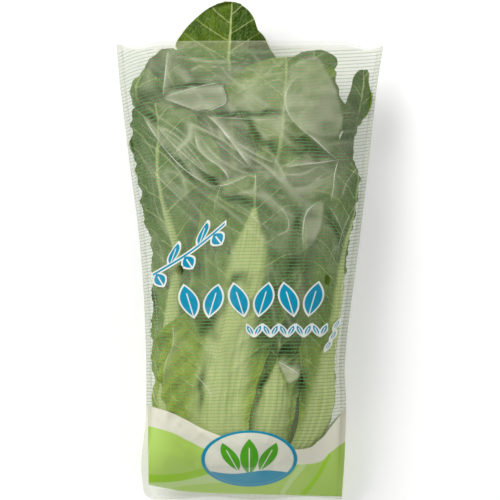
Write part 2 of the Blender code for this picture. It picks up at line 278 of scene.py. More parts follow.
def side_after(share, side, y, distance):
    for _ in range(SIDE_STEPS):
        side = side + distance / SIDE_STEPS / round_the_shell(share, side, y)
    return side


# %% Where every leaf starts and ends


def root_y(outside, side, half_foot):
    """The y where a leaf under those leaves meets the stem, just clear of it all across its foot."""
    ys = np.linspace(BUTT_Y + 0.004, STEM_TIP_Y + 0.004, 160)
    room = np.full(len(ys), 1.0)
    for across in (-1, 0, 1):
        share = shell_share(outside, side + across * half_foot / STEM[1][1], ys)
        room = np.minimum(room, share * smooth(HALF_HEIGHT, ys) * (1 - LUMP))
    clear = room - CAD_BLADE / 2 - ROOT_GAP > smooth(STEM, np.minimum(ys, STEM_TIP_Y))
    return float(ys[np.argmax(clear)])


def leaf_rows():
    rows = list(OUTER_LEAVES)
    for i in range(HEART_COUNT):
        share = i / (HEART_COUNT - 1)
        side = HEART_FIRST_SIDE + i * GOLDEN_ANGLE
        rows.append((side, None, 1, between_ends(HEART_TIP_Y, share), between_ends(HEART_HALF_WIDTH, share)))
    return rows


def leaf_list():
    leaves = []
    for rank, (foot_side, tip_x, front, tip, half) in enumerate(leaf_rows()):
        foot_side = math.radians(foot_side)
        leaf = {"name": f"leaf_{rank + 1:02d}", "rank": rank, "foot_side": foot_side, "tip_side": foot_side}
        leaf.update(tip=tip, half_width=half, rib=RIB_FOOT * (1 - RIB_LOSS * rank / (LEAF_COUNT - 1)))
        leaf["root"] = root_y(leaves, foot_side, half * OUTLINE[0][1])
        leaf["share"] = float(shell_share(leaves, foot_side, (leaf["root"] + tip) / 2))
        if tip_x is not None:
            top = float(shell_share(leaves, foot_side, tip))
            lean = (tip_x - float(smooth(AXIS_X, tip))) / (top * float(smooth(HALF_WIDTH, tip)))
            angle = math.acos(max(-1.0, min(1.0, lean)))
            tip_side = angle if front > 0 else 2 * math.pi - angle
            leaf["tip_side"] += (tip_side - foot_side + math.pi) % (2 * math.pi) - math.pi
        leaves.append(leaf)
    return leaves


leaves = leaf_list()
print(len(leaves), "leaves; the longest is", round(1000 * max(l["tip"] - l["root"] for l in leaves)), "mm")

# %% [markdown]
# ## The surface of a leaf
#
# A romaine blade is never flat. Side veins leave the midrib, lean towards the tip and stand up from the
# blade; the blade sags between them; and the margin is longer than the leaf, so it waves. All of this is
# added along the way out from the shell. One number, the vein count, runs along the leaf and falls away
# from the midrib, so that each side vein lies where it is a whole number. It is kept on the mesh, and the
# blisters and the material follow the same lines.

# %% Veins and waves
VEIN_PITCH = 0.0165  # along the rib, from one side vein to the next
VEIN_LEAN = 0.80  # how far a side vein runs towards the tip for each metre away from the rib
VEIN_ARCH = 3.6  # and how fast it bends away from that
VEIN_WANDER = 0.28  # how far off its place a vein may lie, against the pitch
VEIN_STAGGER = 0.45  # the same, of the veins on one side of the rib against the other side's
VEIN_HEIGHT, VEIN_SHARPNESS = 0.0006, 4.5
SAG = 0.0008  # of the blade between two side veins
CRUMPLE_HEIGHT = 0.0021
CRUMPLE_SIZE = (0.024, 0.030)  # across and along
WAVE_HEIGHT = 0.070  # of the margin, as a share of the leaf's half width
WAVE_LENGTH = 0.031
WAVE_WANDER = 1.6  # how far a wave may lie off its place, in radians
LOBE = 0.045  # how far the margin's outline swings in and out
# Each swing of the outline: its share, its length, its seed, and where along the leaf it sets in
SWINGS = ((1.0, 0.017, 60, (0.3, 0.6)), (0.9, 0.0065, 61, (0.05, 0.25)))
BLADE = 0.0005  # the fine leaf's thickness
RIB_RELIEF = 1.25  # the fine leaf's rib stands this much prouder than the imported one's
FINE_OUTLINE = (
    (0.00, 0.46), (0.10, 0.50), (0.25, 0.60), (0.40, 0.74), (0.55, 0.88),
    (0.70, 0.99), (0.82, 0.98), (0.91, 0.84), (0.97, 0.60), (1.00, 0.42),
)
TIP_CAP = 0.040  # share of the leaf's length over which its tip is rounded off
BROAD_TIP_CAPS = {1: 0.130, 5: 0.110}  # of the leaves whose tips turn round the head's sides
# One leaf bulges out at the head's left side: the middle and reach in y, and how far
BULGED_LEAF, BULGE_Y, BULGE_REACH, BULGE = 5, 0.113, 0.015, 0.0095
TIP_BENDS = {1: 0.009, 5: 0.011}  # how far those leaves' tips bend in towards the head, in metres
TIP_BEND_REACH = 0.014
# How broad the pale rib is at the foot in metres, how fast it narrows, and between which shares of the
# leaf's length it fades; some front leaves have values of their own
RIB_PALE = (0.0165, 2.1, 0.72, 0.93)
SPECIAL_RIB_PALE = {
    0: (0.0205, 0.36, 0.72, 0.93),
    1: (0.0250, 1.7, 0.72, 0.93),
    2: (0.0110, 1.8, 0.72, 0.93),
    4: (0.0150, 0.6, 0.22, 0.38),
}
THIN_RIB = 0.0006  # the pale line that is left all the way to the tip
# How green each outer leaf is left and right of its midrib, against a usual leaf at that height
GREENS = dict(enumerate((
    (-0.35, 0.35), (-0.05, 0.00), (0.00, -0.15), (0.10, 0.10), (0.40, 0.40), (-0.25, -0.05), (0.15, 0.15),
    (-0.60, -0.45), (0.25, 0.15), (0.10, 0.10), (0.25, 0.25), (0.05, 0.15), (0.10, 0.10), (0.60, 0.60),
)))
# How far each outer leaf reaches left and right of its midrib, against its packed half width
SIDES = dict(enumerate((
    (1.00, 0.95), (1.00, 1.00), (1.00, 1.00), (1.00, 1.00), (1.00, 1.00), (1.25, 1.00), (0.45, 0.40),
    (1.00, 1.12), (1.00, 1.00), (1.00, 0.90), (1.00, 1.00), (1.10, 0.62), (1.00, 1.00), (1.00, 0.72),
)))
# How far each outer leaf's left and right margins curl out from the head towards its tip, in metres
CURLS = {
    2: (0.0030, 0.0), 5: (0.0110, 0.0), 6: (0.0, 0.0030),
    7: (0.0, 0.0085), 8: (0.0030, 0.0), 9: (0.0, 0.0020),
}
CURL_SPAN = (0.50, 0.75, 0.95, 1.0)  # shares of the leaf's length over which a curl comes and goes
# Fibres run along the rib and stand up from it a little
FIBRE_WIDTH, FIBRE_HEIGHT = 0.0046, 0.00030
# One leaf's left blade is tucked in below its broad top, which opens a dark gap beside it
TUCKED_LEAF, TUCK, TUCK_SPAN = 7, 0.28, (0.74, 0.95)
# The front leaf's left blade spreads and crumples low down, and lies over its neighbour there
FLARE, FLARE_SPAN, FLARE_LIFT, FLARE_RIPPLE = 0.55, (0.06, 0.22, 0.42, 0.56), 0.0030, 0.0016
# The shade painted in the gaps beside covering leaves is weaker near the foot, by this share
FOOT_SHADE_SHARE = 0.26  # the gaps near the foot are this dark, against those higher up
TOP_GREEN = 0.16  # how much greener the leaves are above their middle

# Places of painted shade, where the blades are painted darker and greener, as in the shadow of a gap between
# leaves, and the film clings to them: the middle and the reach along and across, in the photograph's pixels,
# and the direction in degrees
PIXEL = 0.00072  # metres for each pixel of the photograph
PHOTO_CENTRE = 250
SHADED_PLACES = (
    ((248, 124), (24, 5), -58), ((240, 115), (32, 3), -2), ((310, 152), (26, 8), -14),
    ((150, 118), (12, 4), -50), ((180, 164), (34, 3), -50), ((192, 86), (24, 3), 3),
    ((238, 200), (17, 4), -20), ((212, 182), (16, 4), -48), ((208, 328), (10, 12), 0),
    ((284, 352), (18, 10), -14), ((302, 388), (4, 17), 0), ((294, 266), (11, 9), 30),
    ((202, 386), (26, 4), 82), ((152, 296), (20, 3), -76), ((263, 385), (18, 3), 65),
    ((254, 137), (12, 6), -52), ((301, 143), (17, 8), -40), ((268, 147), (15, 7), -50),
    ((268, 114), (16, 4), 0), ((237, 280), (12, 7), 20), ((297, 228), (5, 14), 0),
    ((335, 230), (20, 4), -70), ((268, 292), (12, 5), 30),
)


def lattice_noise(x, y, seed):
    """Smooth random hills between -1 and 1, one lattice cell long, the same on every run."""
    table = np.random.default_rng(seed).uniform(-1, 1, (64, 64))
    xi, yi = np.floor(x).astype(int), np.floor(y).astype(int)
    fx, fy = step(0, 1, x - xi), step(0, 1, y - yi)

    def corner(dx, dy):
        return table[(xi + dx) % 64, (yi + dy) % 64]

    low = corner(0, 0) * (1 - fx) + corner(1, 0) * fx
    high = corner(0, 1) * (1 - fx) + corner(1, 1) * fx
    return low * (1 - fy) + high * fy


def hills(x, y, size, shift, seed):
    """Such hills of a given size, taken from another place for each shift."""
    return lattice_noise(x / size[0] + shift, y / size[1] + shift, seed)


def turned(x, y, degrees):
    """How far along a direction a point lies, and how far to the left of it."""
    turn = math.radians(degrees)
    return x * math.cos(turn) + y * math.sin(turn), y * math.cos(turn) - x * math.sin(turn)


def sided(table, leaf, usual, on_left):
    """The leaf's value from a table with one for its left half and one for its right half."""
    return np.where(on_left, *table.get(leaf["rank"], usual))


def vein_count(leaf, away, y):
    """A number that is whole along each side vein of the leaf."""
    wander = VEIN_WANDER * lattice_noise(away / 0.021 + 9, y / 0.034, leaf["rank"] + 40)
    lean = VEIN_LEAN * np.abs(away) - VEIN_ARCH * away * away
    return (y - leaf["root"] - lean) / VEIN_PITCH + wander + np.where(away > 0, VEIN_STAGGER, 0.0)


def pale_share(leaf, away, v):
    """1 on the pale rib and 0 on the blade beside it."""
    foot, narrowing, *fade = SPECIAL_RIB_PALE.get(leaf["rank"], RIB_PALE)
    reach = foot * (1 - v) ** narrowing * (1 - step(*fade, v)) + THIN_RIB
    return 1 - step(0.65 * reach, 1.20 * reach, np.abs(away))


def blade_relief(leaf, u, away, y, count):
    """How far the blade stands out from its shell: veins, the sag between them and a waved margin."""
    v = along(leaf, y)
    inland = step(0.0, 0.010, np.abs(away)) * step(0.02, 0.30, v)
    off_vein = np.abs(count - np.round(count)) * 2
    vein = VEIN_HEIGHT * np.exp(-((off_vein * VEIN_SHARPNESS) ** 2)) * inland
    sag = -SAG * np.sqrt(off_vein + 0.02) * inland
    crumple = lattice_noise(away / CRUMPLE_SIZE[0] + 3, y / CRUMPLE_SIZE[1], 5)
    shared = CRUMPLE_HEIGHT * crumple * step(0.15, 0.5, v)
    edge = np.abs(u) ** 4 * np.minimum(1, 2.0 * v)
    phase = 2 * math.pi * y / WAVE_LENGTH + leaf["rank"] * 1.9 + np.sign(u) * 0.7
    phase = phase + WAVE_WANDER * lattice_noise(y / 0.040, np.sign(u) + 5.0, leaf["rank"] + 90)
    wave = WAVE_HEIGHT * leaf["half_width"] * edge * np.sin(phase)
    return vein + sag + shared + wave


def leaf_surface(leaf, u, v, face):
    """Points of one face (1 outer, -1 inner) of a leaf, with the distance from the midrib, the vein count
    and the painted shade of each point, which is strongest in the narrow gap beside a covering leaf."""
    outside, inside = leaves[: leaf["rank"]], leaves[leaf["rank"] + 1 :]
    y = leaf["root"] + (leaf["tip"] - leaf["root"]) * v
    rib = rib_side(leaf, y)
    swing = np.zeros(np.shape(y))
    for share, length, seed, start in SWINGS:
        along_edge = lattice_noise(y / length, np.sign(u) * 3.0 + 8, leaf["rank"] + seed)
        swing += share * along_edge * step(*start, v)
    lobes = 1 + LOBE * swing
    cap_share = BROAD_TIP_CAPS.get(leaf["rank"], TIP_CAP)
    cap = np.sqrt(1 - (1 - np.clip((1.0 - v) / cap_share, 0, 1)) ** 2)
    on_left = u * np.sin(rib) > 0
    flare = plateau(FLARE_SPAN, v) * on_left * (leaf["rank"] == 0)
    reach_out = sided(SIDES, leaf, (1.0, 1.0), on_left) * (1 + FLARE * flare)
    if leaf["rank"] == TUCKED_LEAF:
        reach_out = reach_out * np.where(on_left, TUCK + (1 - TUCK) * step(*TUCK_SPAN, v), 1)
    away = u * leaf["half_width"] * smooth(FINE_OUTLINE, v) * lobes * cap * reach_out
    side = side_after(shell_share(outside, rib, y), rib, y, away)
    count = vein_count(leaf, away, y)
    extra = rib_height(leaf, np.abs(away), y)
    out = sum((rise_over_rib(other, side, y) for other in inside), np.zeros(np.shape(y)))
    out = out + blade_relief(leaf, u, away, y, count) + face * BLADE / 2
    ripple = FLARE_RIPPLE * np.sin(away / 0.0022 + y / 0.003)
    out = out + flare * step(0.3, 0.8, np.abs(u)) * (FLARE_LIFT + ripple)
    curl = sided(CURLS, leaf, (0.0, 0.0), on_left) * plateau(CURL_SPAN, v)
    out = out + curl * step(0.35, 1.0, np.abs(u))
    if leaf["rank"] == BULGED_LEAF:
        out = out + BULGE * np.exp(-(((y - BULGE_Y) / BULGE_REACH) ** 2)) * np.cos(side) ** 2
    bend = step(leaf["tip"] - TIP_BEND_REACH, leaf["tip"] + 0.003, y)
    out = out - TIP_BENDS.get(leaf["rank"], 0.0) * bend * np.cos(side) ** 2
    fibre = np.cos(2 * math.pi * away / FIBRE_WIDTH + 2 * lattice_noise(away / 0.02, y / 0.05, 77))
    out = out + FIBRE_HEIGHT * fibre * pale_share(leaf, away, v) * (face > 0)
    out = out + np.where(face > 0, extra * RIB_RELIEF, 0.0)
    # Painted shade: a point under or just past the edge of a covering leaf is darkened, as if by the shadow
    # in the narrow gap there.
    covers = [cover(other, side, y) for other in outside]
    painted_shade = 1 - np.prod([1 - c**6 for c in covers], axis=0) if covers else np.zeros(np.shape(y))
    half_width, half_height = smooth(HALF_WIDTH, y), smooth(HALF_HEIGHT, y)
    reach = shell_share(outside, side, y) * (1 + LUMP * lumps(side, y))
    out_x, out_z = half_height * np.cos(side), half_width * np.sin(side)
    size = np.hypot(out_x, out_z)
    x = smooth(AXIS_X, y) + reach * half_width * np.cos(side) + out * out_x / size
    z = smooth(AXIS_Z, y) + reach * half_height * np.sin(side) + out * out_z / size
    painted_shade = painted_shade * (FOOT_SHADE_SHARE + (1 - FOOT_SHADE_SHARE) * step(-0.090, 0.010, y))
    return np.stack([x, y, z], axis=-1), away, count, painted_shade


# %% [markdown]
# ## A leaf as a mesh
#
# A leaf is a grid of points, once for its outer face and once for its inner face, joined round the rim. The
# rows crowd towards the rounded tip. The distance from the midrib and the vein count go into a UV map, and
# how pale and green the blade is, and the shade painted on it, go into attributes, because they follow the
# leaf and not the room.

# %% Building the leaves
OUTER_CELLS = (64, 118)  # across and along
HEART_CELLS = (36, 70)
UV_UNIT = 0.01  # one UV unit across a leaf is this far from its midrib
ROWS_TOWARDS_TIP = 0.72
COLUMNS_TOWARDS_MARGIN = 0.92
MARGIN_SHARES = (0.955, 0.99)  # the margin's own colour begins and is full at these shares of the half width
# What a place of painted shade takes from the rib's paleness, adds to the green, and makes of the painted
# shade
DARK_PALE, DARK_GREEN, DARK_PAINTED_SHADE = 0.6, 0.7, 0.80


def grid_faces(across, lengthwise, offset, flip):
    """Quads of a grid of (lengthwise + 1) rows of (across + 1) points."""
    i, j = np.meshgrid(np.arange(across), np.arange(lengthwise))
    a = (j * (across + 1) + i).ravel() + offset
    quads = np.stack([a, a + 1, a + across + 2, a + across + 1], axis=1)
    return quads[:, ::-1] if flip else quads


def rim_faces(across, lengthwise, offset):
    """Quads that join the rims of two such grids, the second one starting at offset."""
    row = across + 1
    loop = [*range(row), *(j * row + across for j in range(1, lengthwise + 1))]
    loop += [lengthwise * row + i for i in range(across - 1, -1, -1)]
    loop += [j * row for j in range(lengthwise - 1, 0, -1)]
    loop = np.array(loop)
    ahead = np.roll(loop, -1)
    return np.stack([loop + offset, ahead + offset, ahead, loop], axis=1)


def mesh_object(name, points, quads, uv, uv_name):
    mesh = bpy.data.meshes.new(name)
    mesh.vertices.add(len(points))
    mesh.vertices.foreach_set("co", np.ascontiguousarray(points, np.float32).ravel())
    mesh.loops.add(quads.size)
    mesh.loops.foreach_set("vertex_index", quads.ravel().astype(np.int32))
    mesh.polygons.add(len(quads))
    mesh.polygons.foreach_set("loop_start", np.arange(0, quads.size, 4, dtype=np.int32))
    mesh.update(calc_edges=True)
    mesh.validate()
    layer = mesh.uv_layers.new(name=uv_name)
    corners = np.empty(len(mesh.loops), np.int32)
    mesh.loops.foreach_get("vertex_index", corners)
    layer.data.foreach_set("uv", uv[corners].astype(np.float32).ravel())
    mesh.shade_smooth()
    return add_object(name, mesh)


def add_attribute(obj, name, values):
    attribute = obj.data.attributes.new(name, "FLOAT", "POINT")
    attribute.data.foreach_set("value", np.asarray(values, np.float32).ravel())


def greenness(leaf, away, y):
    """0 for a blanched blade and 1 for a fully green one."""
    heart = leaf["rank"] / (LEAF_COUNT - 1)
    on_left = away * np.sin(rib_side(leaf, y)) > 0
    tint = sided(GREENS, leaf, (0.0, 0.0), on_left)
    green = step(-0.130, 0.010, y) * (1 - 0.75 * heart**1.5) + TOP_GREEN * step(0.000, 0.060, y)
    return np.clip(green + tint * step(-0.11, -0.05, y), 0, 1.4)


def shaded_places(x, y):
    """1 in the middle of each place of painted shade, fading to 0 round it."""
    dark = np.zeros(x.shape)
    for (px, py), (long, short), turn in SHADED_PLACES:
        run, cross = turned(x / PIXEL + PHOTO_CENTRE - px, y / PIXEL - PHOTO_CENTRE + py, turn)
        wander = 0.6 * short * hills(run, cross, (9, 9), 20, 55)
        dark = np.maximum(dark, np.exp(-((run / long) ** 2) - ((cross + wander) / short) ** 2))
    return dark


def make_leaf(leaf):
    across, lengthwise = OUTER_CELLS if leaf["rank"] < len(OUTER_LEAVES) else HEART_CELLS
    u, t = np.meshgrid(np.linspace(-1, 1, across + 1), np.linspace(0, 1, lengthwise + 1))
    u = np.sign(u) * np.abs(u) ** COLUMNS_TOWARDS_MARGIN
    v = 1 - (1 - t) ** (1 / ROWS_TOWARDS_TIP)
    outer, away, count, painted_shade = leaf_surface(leaf, u, v, 1)
    inner, _, _, _ = leaf_surface(leaf, u, v, -1)
    points = np.concatenate([outer.reshape(-1, 3), inner.reshape(-1, 3)])
    front = grid_faces(across, lengthwise, 0, True)
    back = grid_faces(across, lengthwise, u.size, False)
    quads = np.concatenate([front, back, rim_faces(across, lengthwise, u.size)[:, ::-1]])
    uv = np.stack([count.ravel(), np.abs(away).ravel() / UV_UNIT], axis=1)
    obj = mesh_object("fine_" + leaf["name"], points, quads, np.concatenate([uv, uv]), "veins")
    y = leaf["root"] + (leaf["tip"] - leaf["root"]) * v
    # Places of painted shade: the pale rib is taken away, the blade is made greener and the painted shade is
    # raised there.
    dark = shaded_places(outer[..., 0], outer[..., 1])
    looks = {
        "pale": pale_share(leaf, away, v) * (1 - DARK_PALE * dark),
        "green": greenness(leaf, away, y) + DARK_GREEN * dark,
        "painted_shade": np.maximum(painted_shade, DARK_PAINTED_SHADE * dark),
        "margin": step(*MARGIN_SHARES, np.abs(u)),
    }
    for name, values in looks.items():
        add_attribute(obj, name, np.concatenate([values.ravel(), values.ravel()]))
    add_attribute(obj, "face", np.repeat([1.0, -1.0], u.size))
    return obj


# %% [markdown]
# ## Node helpers
#
# A material or a geometry tree is a small calculation. These helpers let the script write it as a few plain
# formulas instead of wiring sockets by hand: a sum with a node's output adds the nodes that work it out.

# %% Node helpers


class Number:
    """A node's output that plain sums can be done with."""

    def __init__(self, sums, socket):
        self.sums, self.socket = sums, socket

    def __add__(self, other):
        return self.sums.math("ADD", self, other)

    def __sub__(self, other):
        return self.sums.math("SUBTRACT", self, other)

    def __rsub__(self, other):
        return self.sums.math("SUBTRACT", other, self)

    def __mul__(self, other):
        return self.sums.math("MULTIPLY", self, other)

    def __truediv__(self, other):
        return self.sums.math("DIVIDE", self, other)

    def __abs__(self):
        return self.sums.math("ABSOLUTE", self)

    __radd__, __rmul__ = __add__, __mul__


class Sums:
    """Adds nodes to a tree. Its methods take plain numbers, colours and the outputs of other nodes."""

    def __init__(self, tree):
        self.tree = tree

    def plug(self, socket, value):
        value = value.socket if isinstance(value, Number) else value
        if isinstance(value, bpy.types.NodeSocket):
            self.tree.links.new(value, socket)
        else:
            socket.default_value = value

    def node(self, kind, **values):
        """A new node. Names in small letters are its settings, and names with a capital are its inputs."""
        made = self.tree.nodes.new(kind)
        for key, value in values.items():
            if key[0].isupper():
                self.plug(made.inputs[key.replace("_", " ")], value)
            else:
                setattr(made, key, value)
        return made

    def value(self, kind, output=0, **values):
        """One output of a new node, as a number."""
        return Number(self, self.node(kind, **values).outputs[output])

    def math(self, operation, *values):
        made = self.node("ShaderNodeMath", operation=operation)
        for socket, value in zip(made.inputs, values):
            self.plug(socket, value)
        return Number(self, made.outputs[0])

    def most(self, first, second):
        return self.math("MAXIMUM", first, second)

    def least(self, first, second):
        return self.math("MINIMUM", first, second)

    def step(self, low, high, value):
        """0 below low and 1 above high."""
        values = {"Value": value, "From_Min": low, "From_Max": high}
        return self.value("ShaderNodeMapRange", "Result", interpolation_type="SMOOTHSTEP", **values)

    def below(self, high, low, value):
        """1 below low and 0 above high."""
        return 1.0 - self.step(low, high, value)

    def mix(self, share, first, second):
        made = self.node("ShaderNodeMix", data_type="RGBA", Factor=share)
        self.plug(made.inputs[6], first)
        self.plug(made.inputs[7], second)
        return made.outputs[2]

    def attribute(self, name):
        """What a material reads from the mesh under that name."""
        return self.value("ShaderNodeAttribute", "Fac", attribute_name=name)

    def named(self, name):
        """What a Geometry Nodes tree reads from the mesh under that name."""
        return self.value("GeometryNodeInputNamedAttribute", data_type="FLOAT", Name=name)

    def vector(self, x, y=0.0, z=0.0):
        return self.node("ShaderNodeCombineXYZ", X=x, Y=y, Z=z).outputs[0]

    def parts(self, vector):
        return [Number(self, part) for part in self.node("ShaderNodeSeparateXYZ", Vector=vector).outputs]

    def uv(self, name):
        return self.parts(self.node("ShaderNodeUVMap", uv_map=name).outputs[0])[:2]

    def place(self):
        """Where on the object the point lies, as a vector."""
        return self.node("ShaderNodeTexCoord").outputs["Object"]


def new_material(name, **looks):
    """A material, its shader and its sums. The looks are those that are the same all over."""
    material = bpy.data.materials.new(name)
    material.use_nodes = True
    shader = material.node_tree.nodes["Principled BSDF"]
    for key, value in looks.items():
        shader.inputs[key.replace("_", " ")].default_value = value
    return material, shader, Sums(material.node_tree)


def new_geometry_tree(name, inputs):
    """A Geometry Nodes tree that takes a geometry, the named numbers and a finish."""
    tree = bpy.data.node_groups.new(name, "GeometryNodeTree")
    tree.interface.new_socket("Geometry", in_out="INPUT", socket_type="NodeSocketGeometry")
    for label, value in inputs.items():
        tree.interface.new_socket(label, in_out="INPUT", socket_type="NodeSocketFloat").default_value = value
    tree.interface.new_socket("Finish", in_out="INPUT", socket_type="NodeSocketMaterial")
    tree.interface.new_socket("Geometry", in_out="OUTPUT", socket_type="NodeSocketGeometry")
    sums = Sums(tree)
    return tree, sums, sums.node("NodeGroupInput").outputs


def end_geometry_tree(tree, sums, given, geometry):
    """Gives the tree's geometry the finish and hands it out as a plain mesh."""
    real = sums.node("GeometryNodeRealizeInstances", Geometry=geometry)
    dressed = sums.node("GeometryNodeSetMaterial", Geometry=real.outputs[0], Material=given["Finish"])
    sums.node("NodeGroupOutput", Geometry=dressed.outputs[0])
    return tree


def grow(obj, tree, **inputs):
    """Runs a tree on an object and keeps the result as its plain mesh."""
    modifier = obj.modifiers.new(tree.name, "NODES")
    modifier.node_group = tree
    for item in tree.interface.items_tree:
        if item.in_out == "INPUT" and item.name in inputs:
            modifier[item.identifier] = inputs[item.name]
    graph = bpy.context.evaluated_depsgraph_get()
    made = bpy.data.meshes.new_from_object(obj.evaluated_get(graph))
    obj.modifiers.clear()
    obj.data = made


# %% [markdown]
# ## The leaf's finish
#
# A living leaf is dark green where it has had light, yellow-green near its foot, and almost white along its
# midrib. Its side veins are paler than the blade, and a fine net of veins joins them. A thin wax gives a
# soft shine. The net is a Voronoi pattern on the leaf's own UV map, so it leans with the side veins.
# Shade is painted into the colour as well: a darker green in the hollow round each net line, and a near-black
# shade in the narrow gaps beside covering leaves and in the places of painted shade.

# %% Leaf material
LEAF_DARK = (0.038, 0.088, 0.004, 1)
LEAF_MID = (0.125, 0.205, 0.008, 1)
LEAF_YELLOW = (0.270, 0.360, 0.018, 1)
LEAF_RIB = (0.540, 0.600, 0.245, 1)
LEAF_RIB_DARK = (0.420, 0.500, 0.160, 1)
LEAF_SHADE = (0.008, 0.022, 0.002, 1)
LEAF_LOOKS = {"Roughness": 0.48, "Specular_IOR_Level": 0.14}
MOTTLE_SCALE, MOTTLE = 45.0, 1.5  # how small the blotches are, and how much they change the green
VEIN_EDGE = (0.060, 0.010)  # from a side vein's edge to its middle, as a share of the way between two veins
NET_SCALE = 2.6
NET_DEPTH = 0.0006
FIBRE_SPAN, FIBRE_SCALE = (9.0, 0.35), 1.6  # how much narrower across the rib than along it its fibres are
# How strongly each look shows: a net line, the painted shade in the hollow round it, the margin's yellow and
# the painted shade in a gap
NET_SHARE, HOLLOW_SHADE_SHARE, MARGIN_SHARE, PAINTED_SHADE_SHARE = 0.14, 0.38, 0.45, 0.74


def leaf_material():
    material, shader, sums = new_material("lettuce_leaf", **LEAF_LOOKS)
    count, away = sums.uv("veins")
    pale, green = sums.attribute("pale"), sums.attribute("green")
    mottle = sums.value("ShaderNodeTexNoise", Vector=sums.place(), Scale=MOTTLE_SCALE, Detail=4.0)
    shade = green + (mottle - 0.5) * MOTTLE
    blade = sums.mix(sums.step(0.05, 0.60, shade), LEAF_YELLOW, LEAF_MID)
    blade = sums.mix(sums.step(0.60, 1.20, shade), blade, LEAF_DARK)
    near_rib = sums.below(4.2, 0.6, away)
    vein = sums.below(*VEIN_EDGE, abs(count - sums.math("ROUND", count))) * (0.12 + near_rib * 0.36)
    cell = {"Vector": sums.vector(count * 1.5, away), "Scale": NET_SCALE}
    net = sums.value("ShaderNodeTexVoronoi", "Distance", feature="DISTANCE_TO_EDGE", **cell)
    # Painted shade: the green blade is darkened in the hollow round each net line, where the bump sinks.
    hollow_shade = sums.below(0.26, 0.0, net) * sums.step(0.10, 0.50, green)
    colour = sums.mix(hollow_shade * HOLLOW_SHADE_SHARE, blade, LEAF_DARK)
    colour = sums.mix(sums.below(0.07, 0.0, net) * NET_SHARE, colour, LEAF_RIB)
    colour = sums.mix(vein, colour, LEAF_RIB)
    colour = sums.mix(sums.attribute("margin") * MARGIN_SHARE, colour, LEAF_YELLOW)
    lengthwise = sums.vector(away * FIBRE_SPAN[0], count * FIBRE_SPAN[1])
    fibres = sums.value("ShaderNodeTexNoise", Vector=lengthwise, Scale=FIBRE_SCALE)
    colour = sums.mix(pale, colour, sums.mix(sums.step(0.42, 0.66, fibres), LEAF_RIB, LEAF_RIB_DARK))
    # Painted shade: the colour turns towards LEAF_SHADE in the narrow gaps beside covering leaves and in the
    # places of painted shade.
    colour = sums.mix(sums.attribute("painted_shade") * PAINTED_SHADE_SHARE, colour, LEAF_SHADE)
    height = sums.step(0.0, 0.30, net) * (1.0 - pale)
    bump = sums.node("ShaderNodeBump", Strength=0.8, Distance=NET_DEPTH, Height=height)
    sums.plug(shader.inputs["Base Color"], colour)
    sums.plug(shader.inputs["Normal"], bump.outputs[0])
    return material


# %% [markdown]
# ## Blisters
#
# Between its veins a lettuce blade swells into small pillows. They repeat over every leaf, so a Geometry
# Nodes tree makes them: Voronoi cells on the leaf's own map of its veins, each pushed out into a dome along
# the leaf's normal. The inner face moves the same way, which keeps the blade's thickness.

# %% The blister tree
BLISTER_HEIGHT = 0.0021
BLISTERS_PER_VEIN = 1.7


def blister_tree():
    inputs = {"Height": BLISTER_HEIGHT, "Density": BLISTERS_PER_VEIN}
    tree, sums, given = new_geometry_tree("blisters", inputs)
    on_map = sums.node("GeometryNodeInputNamedAttribute", data_type="FLOAT_VECTOR", Name="veins")
    kind = {"feature": "SMOOTH_F1", "voronoi_dimensions": "2D"}
    cell = {"Vector": on_map.outputs[0], "Scale": given["Density"], "Smoothness": 0.25}
    dome = sums.below(0.55, 0.0, sums.value("ShaderNodeTexVoronoi", "Distance", **kind, **cell))
    blade = (1.0 - sums.named("pale")) * (1.0 - sums.named("margin"))
    lift = (dome - 0.5) * blade * given["Height"] * sums.named("face")
    normal = sums.node("GeometryNodeInputNormal").outputs[0]
    push = sums.node("ShaderNodeVectorMath", operation="SCALE", Vector=normal, Scale=lift)
    moved = sums.node("GeometryNodeSetPosition", Geometry=given["Geometry"], Offset=push.outputs[0])
    return end_geometry_tree(tree, sums, given, moved.outputs[0])


lettuce, blisters = leaf_material(), blister_tree()
fine_leaves = [make_leaf(leaf) for leaf in leaves]
for leaf, obj in zip(leaves, fine_leaves):
    grow(obj, blisters, Finish=lettuce, Height=BLISTER_HEIGHT * (1.0 - 0.4 * leaf["rank"] / LEAF_COUNT))
    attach(obj, "root")
    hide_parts(leaf["name"])
    "leaf_outer" if leaf["rank"] < len(OUTER_LEAVES) else "leaf_heart"
print("leaf triangles:", sum(2 * len(obj.data.polygons) for obj in fine_leaves))

# %% [markdown]
# ## The stem
#
# The leaves grow from a short solid stem that is cut across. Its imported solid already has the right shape,
# so it only gets a finish: pale flesh with the faint rings and darker rim of an old cut.

# %% Stem finish
STEM_FLESH = (0.70, 0.70, 0.45, 1)
STEM_RIM = (0.48, 0.40, 0.20, 1)
RINGS_PER_METRE = 2400.0  # in radians


def stem_material():
    material, shader, sums = new_material("stem_flesh", Roughness=0.55)
    x, _, z = sums.parts(sums.place())
    dx, dz = x - float(smooth(AXIS_X, BUTT_Y)), z - float(smooth(AXIS_Z, BUTT_Y))
    radius = sums.math("SQRT", dx * dx + dz * dz)
    rings = sums.math("SINE", radius * RINGS_PER_METRE)
    speck = sums.value("ShaderNodeTexNoise", Scale=300.0)
    rim = sums.step(0.012, 0.021, radius) + (rings * 0.06 + speck * 0.25)
    sums.plug(shader.inputs["Base Color"], sums.mix(sums.step(0.1, 1.4, rim), STEM_FLESH, STEM_RIM))
    return material


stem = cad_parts["stem"]
stem.data.materials.clear()
stem.data.materials.append(stem_material())

# %% [markdown]
# ## The sleeve's form
#
# The sleeve is two sheets of thin film, welded down both sides and across the foot and open at the top. The
# back sheet is pressed flat under the head. The front sheet lies over the leaves like a tent: it touches
# what stands out and bridges what lies back. That is found here as a real membrane is, by letting every
# point of a fine grid sink to the mean of its neighbours, but never below the leaf under it.

